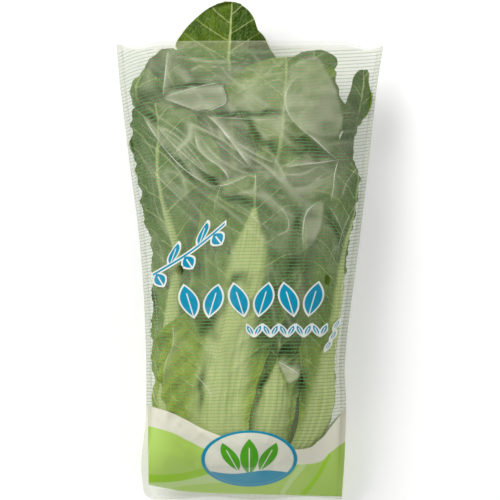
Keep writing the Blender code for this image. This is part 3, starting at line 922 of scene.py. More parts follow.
# %% Outline of the sleeve
SLEEVE_LEFT = (
    (-0.179, -0.0770), (-0.158, -0.0790), (-0.122, -0.0755), (-0.087, -0.0750), (-0.050, -0.0760),
    (-0.022, -0.0775), (0.021, -0.0815), (0.057, -0.0865), (0.090, -0.0905), (0.122, -0.0945),
    (0.150, -0.0970),
)
SLEEVE_RIGHT = (
    (-0.179, 0.0670), (-0.137, 0.0690), (-0.108, 0.0695), (-0.087, 0.0685), (-0.065, 0.0700),
    (-0.036, 0.0735), (-0.007, 0.0775), (0.021, 0.0810), (0.050, 0.0845), (0.086, 0.0885),
    (0.122, 0.0925), (0.150, 0.0970),
)
WELD_Z = (
    (-0.179, 0.0160), (-0.160, 0.0350), (-0.120, 0.0450), (-0.035, 0.0470),
    (0.036, 0.0440), (0.108, 0.0370), (0.150, 0.0310),
)
FRONT_Z = (
    (-0.179, 0.0270), (-0.175, 0.0420), (-0.168, 0.0640), (-0.158, 0.0830), (-0.140, 0.0945),
    (-0.115, 0.0985), (-0.080, 0.0990), (-0.035, 0.0975), (0.000, 0.0930), (0.036, 0.0880),
    (0.072, 0.0825), (0.108, 0.0770), (0.150, 0.0700),
)
BACK_Z = (
    (-0.179, 0.0060), (-0.172, 0.0015), (-0.160, -0.0010), (-0.120, -0.0030),
    (0.080, -0.0030), (0.125, -0.0010), (0.150, 0.0005),
)
FOOT_Y, MOUTH_Y = -0.1790, 0.1500
SECTION_SHARPNESS, SECTION_ROUNDNESS = 2.4, 0.60  # how flat the sleeve's section is, and how round its sides
FLANGE = 0.0042  # width of the flat weld along each side
FILM = 0.00016  # the two sheets lie this far apart in a weld, and the lower one this far above the floor
AIR = 0.0005  # least distance between film and leaf
FRONT_CELLS = (282, 330)  # across and along
BACK_CELLS = (100, 140)
MOUTH_DIPS = ((-0.083, 0.0034), (0.086, 0.0042))  # x and depth of the dips beside the mouth's corners
DIP_WIDTH = 0.011
FOOT_SAG = 0.0024  # the foot's edge hangs this far below its weld
FOOT_WAVE = 0.0011  # and waves by this much
SIDE_CROWDING, FOOT_CROWDING = 0.55, 0.16  # how much closer the columns and rows are there
ROUND_CORNER = 0.0065  # the foot's left corner is worn round


def film_grid(cells):
    """x and y of a sheet's points, rows from the foot to the mouth, columns closer near the side welds."""
    across, lengthwise = cells
    a = np.linspace(-1, 1, across + 1)
    a = SIDE_CROWDING * np.sin(a * math.pi / 2) + (1 - SIDE_CROWDING) * a
    t = np.linspace(0, 1, lengthwise + 1)
    t = FOOT_CROWDING * t**2 + (1 - FOOT_CROWDING) * t
    a, t = np.meshgrid(a, t)
    y = FOOT_Y + (MOUTH_Y - FOOT_Y) * t
    left, right = smooth(SLEEVE_LEFT, y), smooth(SLEEVE_RIGHT, y)
    near_foot = np.clip(1 - (y - FOOT_Y) / ROUND_CORNER, 0, 1)
    left = left + ROUND_CORNER * (1 - np.sqrt(1 - near_foot**2))
    x = (left + right) / 2 + (right - left) / 2 * a
    y = y - (1 - t) ** 8 * (FOOT_SAG + FOOT_WAVE * np.sin(x / 0.011 + 1.0))
    for place, depth in MOUTH_DIPS:
        y = y - depth * np.exp(-(((x - place) / DIP_WIDTH) ** 2)) * t**12
    return a, x, y


def section(a, y, crown):
    """Height of the plain, unfolded sleeve, where a is -1 at the left weld and 1 at the right one."""
    rise = (1 - np.minimum(1, np.abs(a)) ** SECTION_SHARPNESS) ** SECTION_ROUNDNESS
    return smooth(WELD_Z, y) + (smooth(crown, y) - smooth(WELD_Z, y)) * rise


# %% Finding what the film lies on
DOWN, ABOVE_ALL = Vector((0, 0, -1)), 0.3
RELAX_ROUNDS = 1200


def leaf_tree():
    """All fine leaves in one tree that can be asked what lies under a point."""
    points, faces, start = [], [], 0
    for obj in fine_leaves:
        co = np.empty(len(obj.data.vertices) * 3, np.float32)
        obj.data.vertices.foreach_get("co", co)
        index = np.empty(len(obj.data.loops), np.int32)
        obj.data.loops.foreach_get("vertex_index", index)
        points.append(co.reshape(-1, 3))
        faces.append(index.reshape(-1, 4) + start)
        start += len(obj.data.vertices)
    return BVHTree.FromPolygons(np.concatenate(points).tolist(), np.concatenate(faces).tolist())


def tops_under(tree, x, y):
    """Height of the highest leaf under each point, or 0 where there is none."""
    tops = np.zeros(x.size)
    for i, (px, py) in enumerate(zip(x.ravel(), y.ravel())):
        hit = tree.ray_cast(Vector((px, py, ABOVE_ALL)), DOWN)[0]
        if hit is not None:
            tops[i] = hit.z
    return tops.reshape(x.shape)


def beside(values):
    """What lies before, after, left and right of each point of a grid."""
    padded = np.pad(values, 1, mode="edge")
    return padded[:-2, 1:-1], padded[2:, 1:-1], padded[1:-1, :-2], padded[1:-1, 2:]


def relax(height, floor_height, fixed, rounds):
    """Lets a membrane sink onto what is under it."""
    for _ in range(rounds):
        mean = sum(beside(height)) / 4
        height = np.where(fixed, height, np.maximum(mean, floor_height))
    return height


a, film_x, film_y = film_grid(FRONT_CELLS)
tops = tops_under(leaf_tree(), film_x, film_y)
resting = np.maximum(np.max([tops, *beside(tops)], axis=0) + AIR, smooth(WELD_Z, film_y) * 0.6)
plain = section(a, film_y, FRONT_Z)
left_edge, right_edge = film_x[:, :1], film_x[:, -1:]
from_edge = np.minimum(film_x - left_edge, right_edge - film_x)
fixed = (from_edge < FLANGE) | (film_y <= FOOT_Y + 1e-6)
start_height = np.where(fixed, smooth(WELD_Z, film_y), plain)
draped = relax(start_height, resting, fixed, RELAX_ROUNDS)
print("the front sheet rests at most", round(1000 * (plain - draped).max(), 1), "mm below the plain section")

# %% [markdown]
# ## Creases
#
# Film does not stretch, so where it has to give, it creases: sharp ridges with a soft slope on one side and a
# steep one on the other, and small flaps where it folds over itself. The creases of the photographed sleeve
# are listed along the points that they pass, in the photograph's own pixels. Each one lifts the sheet and
# whitens it along its crest, because bent film scatters light; a painted highlight lies on the crest and on
# its lit slope too.

# %% The creases and flaps of the front sheet
# Points along the crest, height in metres, reach to the left and to the right of the way it runs in metres,
# and how white the crest is
CREASES = (
    (((205, 114), (218, 125), (232, 143), (247, 163), (255, 172)), 0.0035, 0.0070, 0.0022, 0.95),
    (((255, 172), (256, 182), (252, 198)), 0.0022, 0.004, 0.003, 0.50),
    (((168, 48), (166, 72), (163, 98)), 0.0024, 0.0060, 0.0022, 0.70),
    (((163, 98), (180, 93), (200, 87), (222, 83)), 0.0022, 0.0022, 0.0060, 0.65),
    (((163, 98), (178, 104), (192, 109), (206, 113)), 0.0025, 0.0030, 0.0050, 0.75),
    (((206, 113), (218, 108), (228, 104), (222, 84)), 0.0016, 0.0025, 0.0035, 0.55),
    (((141, 112), (152, 131), (167, 152), (186, 172), (211, 187)), 0.0034, 0.0060, 0.0028, 0.80),
    (((137, 150), (150, 168), (168, 187), (190, 207)), 0.0020, 0.0060, 0.0030, 0.35),
    (((152, 120), (168, 140), (186, 157), (204, 172), (222, 180)), 0.0022, 0.0050, 0.0026, 0.45),
    (((195, 130), (197, 147), (207, 159), (221, 167), (229, 178), (229, 184)), 0.0018, 0.0040, 0.0022, 0.75),
    (((222, 131), (240, 146), (262, 159), (284, 167)), 0.0020, 0.0050, 0.0024, 0.55),
    (((214, 140), (228, 152), (243, 165), (254, 171)), 0.0014, 0.0035, 0.0020, 0.35),
    (
        ((299, 78), (288, 86), (284, 100), (288, 116), (301, 130), (316, 141), (328, 153), (338, 160)),
        *(0.0026, 0.0055, 0.0026, 0.80),
    ),
    (((284, 168), (302, 165), (322, 163), (338, 160)), 0.0026, 0.0050, 0.0026, 0.70),
    (((338, 160), (334, 174), (333, 190), (330, 204)), 0.0018, 0.0035, 0.0025, 0.50),
    (((368, 150), (357, 168), (345, 184), (341, 200)), 0.0022, 0.0045, 0.0028, 0.45),
    (((366, 190), (352, 210), (340, 236), (336, 262)), 0.0018, 0.0050, 0.0030, 0.35),
    (((211, 187), (226, 186), (240, 180), (251, 175)), 0.0018, 0.0030, 0.0040, 0.55),
    (((214, 196), (240, 210), (262, 224), (282, 238)), 0.0014, 0.0040, 0.0024, 0.16),
    (((280, 206), (289, 220), (288, 232), (274, 236)), 0.0012, 0.0025, 0.0020, 0.45),
    (((126, 176), (134, 210), (139, 246), (150, 286), (163, 312)), 0.0022, 0.0040, 0.0024, 0.50),
    (((322, 200), (306, 210), (302, 228), (303, 250)), 0.0018, 0.0030, 0.0024, 0.60),
    (((328, 205), (340, 224), (346, 244)), 0.0016, 0.0030, 0.0030, 0.35),
    (((173, 322), (175, 345), (165, 362), (164, 388)), 0.0018, 0.0035, 0.0026, 0.40),
    (((151, 352), (149, 380), (156, 404), (163, 412)), 0.0016, 0.0030, 0.0024, 0.45),
    (((277, 360), (288, 366), (301, 375)), 0.0018, 0.0022, 0.0016, 0.85),
    (((343, 300), (335, 330), (336, 362), (342, 388)), 0.0020, 0.0045, 0.0030, 0.40),
    (((195, 372), (208, 386), (214, 400)), 0.0012, 0.0030, 0.0020, 0.40),
    (((352, 262), (343, 280), (340, 300)), 0.0014, 0.0030, 0.0025, 0.35),
    (((208, 118), (232, 119), (256, 121), (280, 120)), 0.0016, 0.0024, 0.0050, 0.40),
    (((236, 150), (252, 158), (268, 170), (290, 190)), 0.0016, 0.0040, 0.0026, 0.30),
    (((262, 228), (252, 214), (236, 204)), 0.0012, 0.0030, 0.0022, 0.30),
    (((222, 184), (216, 200), (214, 214)), 0.0014, 0.0030, 0.0022, 0.40),
    (((144, 250), (150, 276), (156, 300), (158, 330)), 0.0014, 0.0030, 0.0024, 0.35),
    (((233, 98), (244, 90), (258, 84)), 0.0010, 0.0026, 0.0020, 0.25),
)
# Flaps of film that lie over the sheet or stand off the leaves, whose white is partly a painted highlight
# on taut film: corners, how white they are, and how far their edge fades in metres
FLAPS = (
    (((163, 98), (200, 88), (222, 84), (228, 104), (206, 112), (182, 106)), 0.56, 0.0012),
    (
        ((296, 62), (318, 56), (336, 88), (344, 118), (340, 136), (318, 138), (298, 128), (285, 110),
         (286, 84)),
        *(0.50, 0.0018),
    ),
    (((206, 112), (250, 118), (284, 118), (290, 136), (232, 142)), 0.15, 0.0045),
    (((280, 168), (335, 162), (333, 190), (306, 202), (288, 188)), 0.32, 0.0030),
    (((303, 210), (324, 200), (322, 226), (312, 246), (303, 250)), 0.46, 0.0018),
    (((196, 132), (214, 140), (236, 158), (248, 172), (222, 166), (200, 152)), 0.26, 0.0016),
    (((209, 188), (230, 186), (252, 176), (250, 188), (226, 196)), 0.30, 0.0020),
    (((277, 360), (301, 375), (288, 383)), 0.62, 0.0010),
    (((150, 170), (178, 200), (196, 226), (180, 222), (156, 196)), 0.12, 0.0050),
    (((172, 52), (222, 50), (224, 66), (190, 80), (170, 82)), 0.12, 0.0050),
    (((226, 84), (262, 62), (284, 66), (282, 100), (248, 108)), 0.28, 0.0070),
    (((214, 252), (222, 250), (227, 300), (223, 356), (214, 360), (218, 300)), 0.15, 0.0030),
    (((300, 60), (316, 58), (312, 84), (320, 112), (306, 122), (294, 104)), 0.52, 0.0050),
)
FLAP_RISE = 0.0012
# The crest's white is the whitening of bent film with a painted highlight on it; the slope beside it carries
# a painted highlight only.
CREST_WHITE, CREST_WIDTH = 0.6, 0.0009
SLOPE_HIGHLIGHT, SLOPE_REACH = 0.66, 0.0048  # the lit slope beside a crest
STREAK_SHARPNESS, STREAK_BEND = 2.2, 0.004
# Fields of fine folds, drawn only as painted highlights on the film: place in photo pixels, reach along and
# across in metres, direction in degrees, length and width of a fold in metres, whiteness and seed
STREAKS = (
    ((176, 150), (0.036, 0.026), -46, 0.045, 0.0038, 0.68, 11),
    ((228, 150), (0.034, 0.022), -38, 0.040, 0.0036, 0.58, 12),
    ((212, 66), (0.040, 0.018), -6, 0.030, 0.0034, 0.50, 13),
    ((262, 90), (0.030, 0.022), 20, 0.030, 0.0036, 0.50, 14),
    ((300, 176), (0.034, 0.018), 8, 0.034, 0.0034, 0.55, 15),
    ((150, 210), (0.060, 0.014), -74, 0.050, 0.0034, 0.40, 16),
    ((150, 300), (0.060, 0.012), -84, 0.050, 0.0032, 0.40, 17),
    ((348, 220), (0.050, 0.012), -104, 0.045, 0.0032, 0.40, 18),
    ((344, 330), (0.060, 0.012), -92, 0.050, 0.0032, 0.34, 19),
    ((320, 110), (0.030, 0.024), -60, 0.026, 0.0040, 0.28, 20),
    ((240, 210), (0.050, 0.022), -30, 0.040, 0.0040, 0.26, 21),
    ((216, 305), (0.060, 0.010), -87, 0.050, 0.0040, 0.30, 22),
    ((300, 300), (0.040, 0.024), -60, 0.030, 0.0038, 0.18, 23),
    ((180, 110), (0.026, 0.014), 4, 0.026, 0.0034, 0.30, 24),
    ((235, 140), (0.085, 0.062), -40, 0.050, 0.0100, 0.62, 31),
    ((270, 120), (0.080, 0.060), 6, 0.040, 0.0075, 0.46, 32),
    ((250, 300), (0.070, 0.075), -75, 0.050, 0.0090, 0.26, 33),
)


def photo_place(points):
    points = np.array(points, float)
    return np.stack([(points[:, 0] - PHOTO_CENTRE) * PIXEL, (PHOTO_CENTRE - points[:, 1]) * PIXEL], axis=1)


def rounded(points, times):
    """Cuts the corners of an open line, so that it bends as a crease does."""
    for _ in range(times):
        first, last = points[:1], points[-1:]
        near = points[:-1] * 0.75 + points[1:] * 0.25
        far = points[:-1] * 0.25 + points[1:] * 0.75
        points = np.concatenate([first, np.stack([near, far], axis=1).reshape(-1, 2), last])
    return points


def rounded_loop(points):
    """Cuts the corners of a closed shape a little."""
    ahead = np.roll(points, -1, axis=0)
    return np.stack([points * 0.86 + ahead * 0.14, points * 0.14 + ahead * 0.86], axis=1).reshape(-1, 2)


def streaks(x, y):
    """Painted highlights in faint streaks, as on film that is drawn into small folds, in fields of their own
    direction.
    """
    white = np.zeros(x.shape)
    for place, reach, turn, length, width, bright, seed in STREAKS:
        centre_x, centre_y = photo_place([place])[0]
        run, cross = turned(x - centre_x, y - centre_y, turn)
        bend = STREAK_BEND * lattice_noise(run / 0.03 + 11, cross / 0.03 + 17, seed + 50)
        ridge = 1 - STREAK_SHARPNESS * np.abs(hills(run, cross + bend, (length, width), 30, seed))
        field = np.exp(-((run / reach[0]) ** 2) - (cross / reach[1]) ** 2)
        white = np.maximum(white, bright * field * np.clip(ridge, 0, 1) ** 2)
    return white


def beside_line(points, x, y):
    """Distance from a line, positive on its left, and how far along it, from 0 to 1, the nearest point is."""
    best = np.full(x.shape, 9.0)
    side = np.zeros(x.shape)
    place = np.zeros(x.shape)
    lengths = np.hypot(*np.diff(points, axis=0).T)
    reached = np.concatenate([[0], np.cumsum(lengths)]) / lengths.sum()
    for i, (p, q) in enumerate(zip(points[:-1], points[1:])):
        way = (q - p) / lengths[i]
        t = np.clip((x - p[0]) * way[0] + (y - p[1]) * way[1], 0, lengths[i])
        dx, dy = x - p[0] - t * way[0], y - p[1] - t * way[1]
        distance = np.hypot(dx, dy)
        nearer = distance < best
        best = np.where(nearer, distance, best)
        side = np.where(nearer, np.sign(way[0] * dy - way[1] * dx), side)
        place = np.where(nearer, reached[i] + t / lengths.sum(), place)
    return best * np.where(side == 0, 1, side), place


def inside_shape(points, x, y):
    """Distance inwards from the edge of a closed shape, negative outside it."""
    loop = np.concatenate([points, points[:1]])
    distance = np.abs(beside_line(loop, x, y)[0])
    crossings = np.zeros(x.shape, int)
    for p, q in zip(loop[:-1], loop[1:]):
        spans = (p[1] > y) != (q[1] > y)
        reach = p[0] + (y - p[1]) * (q[0] - p[0]) / (q[1] - p[1] + 1e-12)
        crossings += spans & (x < reach)
    return np.where(crossings % 2 == 1, distance, -distance)


def crease_relief(x, y):
    lift, white = np.zeros(x.shape), np.zeros(x.shape)
    for points, height, left, right, bright in CREASES:
        line = rounded(photo_place(points), 2)
        distance, place = beside_line(line, x, y)
        ends = plateau((0, 0.18, 0.80, 1.0), place)
        reach = np.where(distance > 0, left, right)
        lift = lift + height * ends * np.exp(-np.abs(distance) / reach)
        # Painted highlight: on the crest, together with the whitening of bent film, and on the lit slope to
        # the crease's left.
        crest = CREST_WHITE * np.exp(-((distance / CREST_WIDTH) ** 2))
        lit_slope = np.where(distance > 0, SLOPE_HIGHLIGHT * np.exp(-np.abs(distance) / SLOPE_REACH), 0)
        white = np.maximum(white, bright * np.maximum(crest, lit_slope) * (0.25 + 0.75 * ends))
    # Flaps whiten the film, partly as a painted highlight on taut film.
    for points, bright, fade in FLAPS:
        depth = inside_shape(rounded_loop(photo_place(points)), x, y)
        share = step(-fade, fade, depth)
        lift = lift + FLAP_RISE * share
        patchy = 0.80 + 0.30 * hills(x, y, (0.011, 0.005), 40, 91)
        rim = 0.75 + 0.25 * np.exp(-np.maximum(depth, 0) / 0.004)
        white = np.maximum(white, bright * share * patchy * rim)
    return lift, np.maximum(white, streaks(x, y))


# %% Fine crinkles
# Length and width of the crinkles in metres, their height, and their seed
CRINKLES = ((0.034, 0.016, 0.0012, 31), (0.017, 0.008, 0.0006, 32), (0.008, 0.0045, 0.00022, 33))
CRINKLE_TURN = -38  # degrees


def crinkles(x, y):
    """Low sharp-crested hills that run along the creases' main direction."""
    run, cross = turned(x, y, CRINKLE_TURN)
    total = np.zeros(x.shape)
    for long, short, height, seed in CRINKLES:
        total += height * (0.7 - np.abs(hills(run, cross, (long, short), 20, seed)) * 1.6)
    return total


# %% [markdown]
# ## The sheets
#
# The front sheet adds its creases and crinkles to the membrane. Near the welds and the foot they fade, since
# the film is held flat there. The printed pattern follows the film, so it has a UV map of its own: metres
# across and along the sheet, leaning a little where the film was drawn in on the way up the sides. Two vent
# holes are punched: the points near a hole's edge move onto it, and the faces inside it go.

# %% Building the sheets
# The vents: place in photo pixels, and half width and height in metres
VENTS = (((180.2, 270.3), 0.0027, 0.0039), ((327.0, 279.4), 0.0022, 0.0038))
STRIPE_LEAN, LEAN_REACH = 0.45, 0.024  # how steeply the printed lines run at the sides, and how far in
PRINT_WANDER = 0.0011  # how far off their straight way they wander
FOLD_SHIFT = (0.3, 0.8)  # how far a fold shifts the print across and along, against its height
CREASE_LIFT = 0.0006  # the creased film lies this much above the membrane
AIRY_GAP = 0.012  # film this far above a leaf shows all of the air between
RIM_WHITE, RIM_REACH = 0.35, 0.0009  # the mouth's cut edge is this white, and over this width
HELD_REACH, HELD_FOOT = 0.020, 0.030  # the film is free of its weld this far from the sides and the foot
CLING_WHITE, CLING_AIR = 0.8, 0.5  # what a place where the film clings takes from its white and its air


def print_place(x, y, from_left, from_right, lift):
    """Where on the flat, printed sheet a point of the worn one is; a fold takes up some of the sheet."""
    lean = LEAN_REACH * (np.exp(-from_left / LEAN_REACH) - 0.5 * np.exp(-from_right / LEAN_REACH))
    wander = PRINT_WANDER * hills(x, y, (0.045, 0.050), 0, 71)
    print_y = y + STRIPE_LEAN * lean * step(-0.10, 0.06, y) + wander + FOLD_SHIFT[1] * lift
    return np.stack([x + FOLD_SHIFT[0] * lift, print_y], axis=-1)


def punch(points, quads, centre, half_x, half_y):
    """Moves the points near an ellipse onto it and drops the faces inside."""
    dx = (points[:, 0] - centre[0]) / half_x
    dy = (points[:, 1] - centre[1]) / half_y
    radius = np.hypot(dx, dy)
    near = (radius > 0.70) & (radius < 1.30)
    scale = np.where(near, 1 / np.maximum(radius, 1e-6), 1)
    points[:, 0] = centre[0] + dx * scale * half_x
    points[:, 1] = centre[1] + dy * scale * half_y
    radius = np.where(near, 1.0, radius)
    return quads[~(radius[quads] <= 1.0).all(axis=1)]


def sheet_object(name, x, y, z, cells, flip, looks, folds=0.0):
    """One sheet of film as a single layer of faces that point outwards."""
    points = np.stack([x, y, z], axis=-1).reshape(-1, 3)
    quads = grid_faces(*cells, 0, flip)
    uv = print_place(x, y, x - x[:, :1], x[:, -1:] - x, folds).reshape(-1, 2)
    for place, half_x, half_y in VENTS if looks["ink"] == 1 else ():
        quads = punch(points, quads, photo_place([place])[0], half_x, half_y)
    obj = mesh_object(name, points, quads, uv, "print")
    for label, values in looks.items():
        add_attribute(obj, label, np.broadcast_to(values, x.shape))
    return obj


lift, white = crease_relief(film_x, film_y)
hold = step(FLANGE, HELD_REACH, from_edge) * step(FOOT_Y, FOOT_Y + HELD_FOOT, film_y)
front_z = draped + hold * (lift + crinkles(film_x, film_y) + CREASE_LIFT)
front_z = np.where(fixed, front_z, np.maximum(front_z, tops + AIR))
air = np.clip((front_z - tops) / AIRY_GAP, 0, 1) * (tops > 0)
rim_white = RIM_WHITE * np.exp(-((film_y.max(axis=0, keepdims=True) - film_y) / RIM_REACH))
free = 1.0 * (tops == 0)  # nothing but the back sheet lies under the film there
# The film clings and turns clear where shade is painted on the leaves.
cling = shaded_places(film_x, film_y)
# The film's white holds its whitening and the painted highlights of the creases, flaps and streaks.
looks = {
    "white": np.maximum(white * np.maximum(hold, 0.25) * (1 - CLING_WHITE * cling), rim_white),
    "air": np.clip(air * (1 - cling) - CLING_AIR * cling, -1, 1),
    "free": free,
    "ink": 1.0,
}
front_sheet = sheet_object("film_front", film_x, film_y, front_z, FRONT_CELLS, False, looks, hold * lift)

back_a, back_x, back_y = film_grid(BACK_CELLS)
back_edge = np.minimum(back_x - back_x[:, :1], back_x[:, -1:] - back_x)
back_hold = step(FLANGE, HELD_REACH, back_edge) * step(FOOT_Y, FOOT_Y + HELD_FOOT, back_y)
back_z = section(back_a, back_y, BACK_Z) - back_hold * np.abs(crinkles(back_x, back_y + 0.5)) * 0.8
back_z = np.where(back_edge < FLANGE, smooth(WELD_Z, back_y) - FILM, back_z)
back_z = np.maximum(back_z, FILM)
plain_looks = {"white": 0.0, "air": 0.0, "free": 1.0, "ink": 0.0}
back_sheet = sheet_object("film_back", back_x, back_y, back_z, BACK_CELLS, True, plain_looks)

# %% [markdown]
# ## The film's finish
#
# Sleeve film is clear but milky, glossy, and printed. Fine green lines run across its front and stop at the
# foot, where an off-white wave and a lime green field cover it. On them stand plain leaf motifs and an oval
# badge, all drawn here by formula. The film is a Principled surface whose alpha says how much of it is there:
# very little where it clings to the leaves low down, more where it stands off them or is creased, and most
# under ink. Its white also carries painted highlights on the creases, flaps and folds, and the lime field is
# painted a little darker towards its right side, as shade.

# %% Colours and places of the print
BARE_FILM = (0.53, 0.54, 0.34, 1)
# The colour of whitened film, and of the painted highlights on its creases, flaps and folds
WHITE_FILM = (0.92, 0.93, 0.70, 1)
LINE_GREEN = (0.040, 0.340, 0.085, 1)
BAND_WHITE = (0.78, 0.77, 0.63, 1)
LIME = (0.44, 0.66, 0.12, 1)
# The lime is painted a little darker towards the sheet's right side, as shade away from the lamp
LIME_SHADED_RIGHT = (0.43, 0.64, 0.120, 1)  # towards the sheet's right side
LIME_LIGHT = (0.53, 0.72, 0.27, 1)
LIME_DEEP = (0.33, 0.63, 0.01, 1)
INK_BLUE = (0.003, 0.265, 0.420, 1)
MOTIF_EDGE = (0.76, 0.79, 0.74, 1)
BADGE_CREAM = (0.74, 0.75, 0.62, 1)
BADGE_GREEN = (0.085, 0.380, 0.018, 1)
LINE_PITCH = 0.00245
LINE_TOP = 0.1445
# The foot's print: y of the wave's upper edge and of the lime field's upper edge across the sheet
WAVE_TOP = (
    (-0.080, -0.1120), (-0.062, -0.1146), (-0.047, -0.1206), (-0.032, -0.1282), (-0.012, -0.1350),
    (0.018, -0.1410), (0.038, -0.1425), (0.049, -0.1370), (0.058, -0.1275), (0.070, -0.1130),
)
FIELD_TOP = (
    (-0.080, -0.1270), (-0.062, -0.1292), (-0.044, -0.1365), (-0.030, -0.1430), (0.000, -0.1500),
    (0.030, -0.1540), (0.047, -0.1535), (0.058, -0.1460), (0.070, -0.1380),
)
# The print stops short of the foot's left and lower edges
FOOT_LEFT = -0.0738
FOOT_BOTTOM = ((-0.080, -0.1695), (-0.060, -0.1735), (-0.040, -0.1765), (0.000, -0.1780), (0.070, -0.1800))
BADGE_PLACE, BADGE_HALF = (-0.0005, -0.1500), (0.0345, 0.0215)
# Swooshes in the lime field: start, end and bend of a band's middle, its half width, and its colour
SWOOSHES = (
    ((-0.078, -0.1745), (-0.020, -0.1640), 0.002, 0.0042, LIME_LIGHT),
    ((-0.074, -0.1660), (-0.024, -0.1560), -0.003, 0.0030, LIME_DEEP),
    ((0.0370, -0.1800), (0.0580, -0.1460), -0.003, 0.0032, LIME_DEEP),
    ((0.0220, -0.1800), (0.0400, -0.1530), 0.002, 0.0036, LIME_LIGHT),
)

# %% Shapes of the print as nodes
EDGE = 0.0003  # printed edges fade over this far to each side


def edge(sums, value):
    """0 below zero and 1 above, as sharp as a printed edge."""
    return sums.step(-EDGE, EDGE, value)


def across_curve(sums, x, stations):
    """A smooth curve through (x, y) stations as a Float Curve node."""
    low, high = stations[0][0], stations[-1][0]
    bottom = min(y for _, y in stations) - 0.002
    top = max(y for _, y in stations) + 0.002
    share = sums.least(1.0, sums.most(0.0, (x - low) / (high - low)))
    made = sums.node("ShaderNodeFloatCurve", Value=share)
    line = made.mapping.curves[0]
    for i, (px, py) in enumerate(stations):
        spot = ((px - low) / (high - low), (py - bottom) / (top - bottom))
        if i in (0, len(stations) - 1):
            line.points[0 if i == 0 else -1].location = spot
        else:
            line.points.new(*spot)
    made.mapping.update()
    return Number(sums, made.outputs[0]) * (top - bottom) + bottom


def between(sums, low, high, value, soft=0.0002):
    return sums.step(low - soft, low + soft, value) * sums.below(high + soft, high - soft, value)


def leaf_shape(sums, dx, dy, lean, half):
    """Masks of a pointed leaf shape and of its outline; lean is the sideways shift for each metre up."""
    across = abs(dx - dy * lean)

    def mask(grown):
        tall = dy / (half[1] + grown * 1.3)
        return sums.below(1.05, 0.95, across / (half[0] + grown) + tall * tall)

    midrib = sums.below(0.00055, 0.00030, across) * sums.below(half[1] * 0.55, half[1] * 0.45, dy)
    return mask(0.0) * (1.0 - midrib), mask(0.0013)


def turns_along(sums, x, left, pitch):
    """For shapes in a row: how far x is from the middle of its shape, and -1 or 1 for each shape in turn."""
    turns = (x - left) / pitch
    index = sums.math("FLOOR", turns)
    return (turns - index - 0.5) * pitch, sums.math("FLOORED_MODULO", index, 2.0) * 2.0 - 1.0


def leaf_row(sums, x, y, row):
    """A row of leaf shapes that lean left and right in turn."""
    (left, right), centre_y, pitch, half, lean = row
    dx, side = turns_along(sums, x, left, pitch)
    inside = between(sums, left, right, x, 0.00001)
    shape, outline = leaf_shape(sums, dx, y - centre_y, side * lean, half)
    return shape * inside, outline * inside


def stroke(sums, x, y, start, end, bend, half):
    """Mask of a bent stroke between two places, the y of its middle, and the distance from that."""
    share = (x - start[0]) / (end[0] - start[0])
    middle = start[1] + share * (end[1] - start[1]) + sums.math("SINE", share * math.pi) * bend
    off = abs(y - middle)
    inside = between(sums, start[0], end[0], x)
    return sums.below(half + 0.0002, half - 0.0002, off) * inside, middle, off


# Rows of leaf shapes: left and right end, y of the middle, pitch, half width and height, and lean
LEAF_ROW = ((-0.0525, 0.0543), -0.0362, 0.0178, (0.0060, 0.0112), 0.30)
SMALL_ROW = ((-0.0030, 0.0560), -0.0582, 0.0059, (0.0017, 0.0034), 0.50)
SPRIG = ((-0.0700, -0.0140), (-0.0180, 0.0190), -0.0040)
SPRIG_STEM, SPRIG_PITCH, SPRIG_OFF = 0.0008, 0.0104, 0.0064  # half width; leaves' pitch and way off the stem
SPRIG_LEAN, SPRIG_LEAF = 0.45, (0.0036, 0.0058)
# Three small leaf shapes that climb beside the end of the rows
CLIMBERS = ((0.0560, -0.0692), (0.0598, -0.0622), (0.0622, -0.0548))
CLIMBER_LEAN, CLIMBER_HALF = 0.60, (0.0011, 0.0031)
# The badge's leaves: x, lean, half width and height; and the upper edge of the wave under them
BADGE_LEAVES = (
    (-0.0135, -0.55, (0.0056, 0.0105)),
    (0.0135, 0.55, (0.0056, 0.0105)),
    (0.0, 0.0, (0.0066, 0.0135)),
)
BADGE_LEAF_Y, BADGE_WAVE_Y, BADGE_WAVE, BADGE_WAVES = 0.0020, -0.0095, 0.0012, 130.0


def sprig(sums, x, y):
    """A bent stem with leaf shapes above and below it in turn."""
    start, end, bend = SPRIG
    stem_mask, middle, off = stroke(sums, x, y, start, end, bend, SPRIG_STEM)
    outline = sums.below(0.0022, 0.0018, off) * between(sums, start[0] - 0.0012, end[0] + 0.0012, x)
    dx, side = turns_along(sums, x, start[0], SPRIG_PITCH)
    inside = between(sums, start[0], end[0], x, 0.00001)
    shape, rim = leaf_shape(sums, dx, y - middle - side * SPRIG_OFF, side * SPRIG_LEAN, SPRIG_LEAF)
    return sums.most(stem_mask, shape * inside), sums.most(outline, rim * inside)


def badge(sums, x, y, colour):
    """Paints the oval badge over a colour and returns it with the badge's mask."""
    dx, dy = x - BADGE_PLACE[0], y - BADGE_PLACE[1]
    wide, tall = dx / BADGE_HALF[0], dy / BADGE_HALF[1]
    radius = sums.math("SQRT", wide * wide + tall * tall)
    whole, inner = sums.below(1.01, 0.99, radius), sums.below(0.93, 0.91, radius)
    colour = sums.mix(whole, colour, INK_BLUE)
    colour = sums.mix(inner, colour, BADGE_CREAM)
    for place, lean, half in BADGE_LEAVES:
        shape, _ = leaf_shape(sums, dx - place, dy - BADGE_LEAF_Y, lean, half)
        colour = sums.mix(shape * inner, colour, BADGE_GREEN)
    wave = BADGE_WAVE_Y + sums.math("SINE", dx * BADGE_WAVES) * BADGE_WAVE
    return sums.mix(sums.below(EDGE, -EDGE, dy - wave) * inner, colour, INK_BLUE), whole


# %% Film material
FILM_LOOKS = {"Roughness": 0.33, "IOR": 1.38, "Specular_IOR_Level": 0.12}
# How much of the film is there: at least, and added where it is loose, stands off the leaves or is white with
# whitening and painted highlight
CLEAR, LOOSE, AIRY, WHITE_AND_HIGHLIGHT = 0.05, 0.045, 0.11, 0.60
FREE, THICKEST = 0.19, 0.92  # at least over nothing but the back sheet, and at most
LINE_SHARE, LINE_ALPHA, INK_ALPHA, BADGE_ALPHA = 0.80, 0.50, 0.93, 0.96


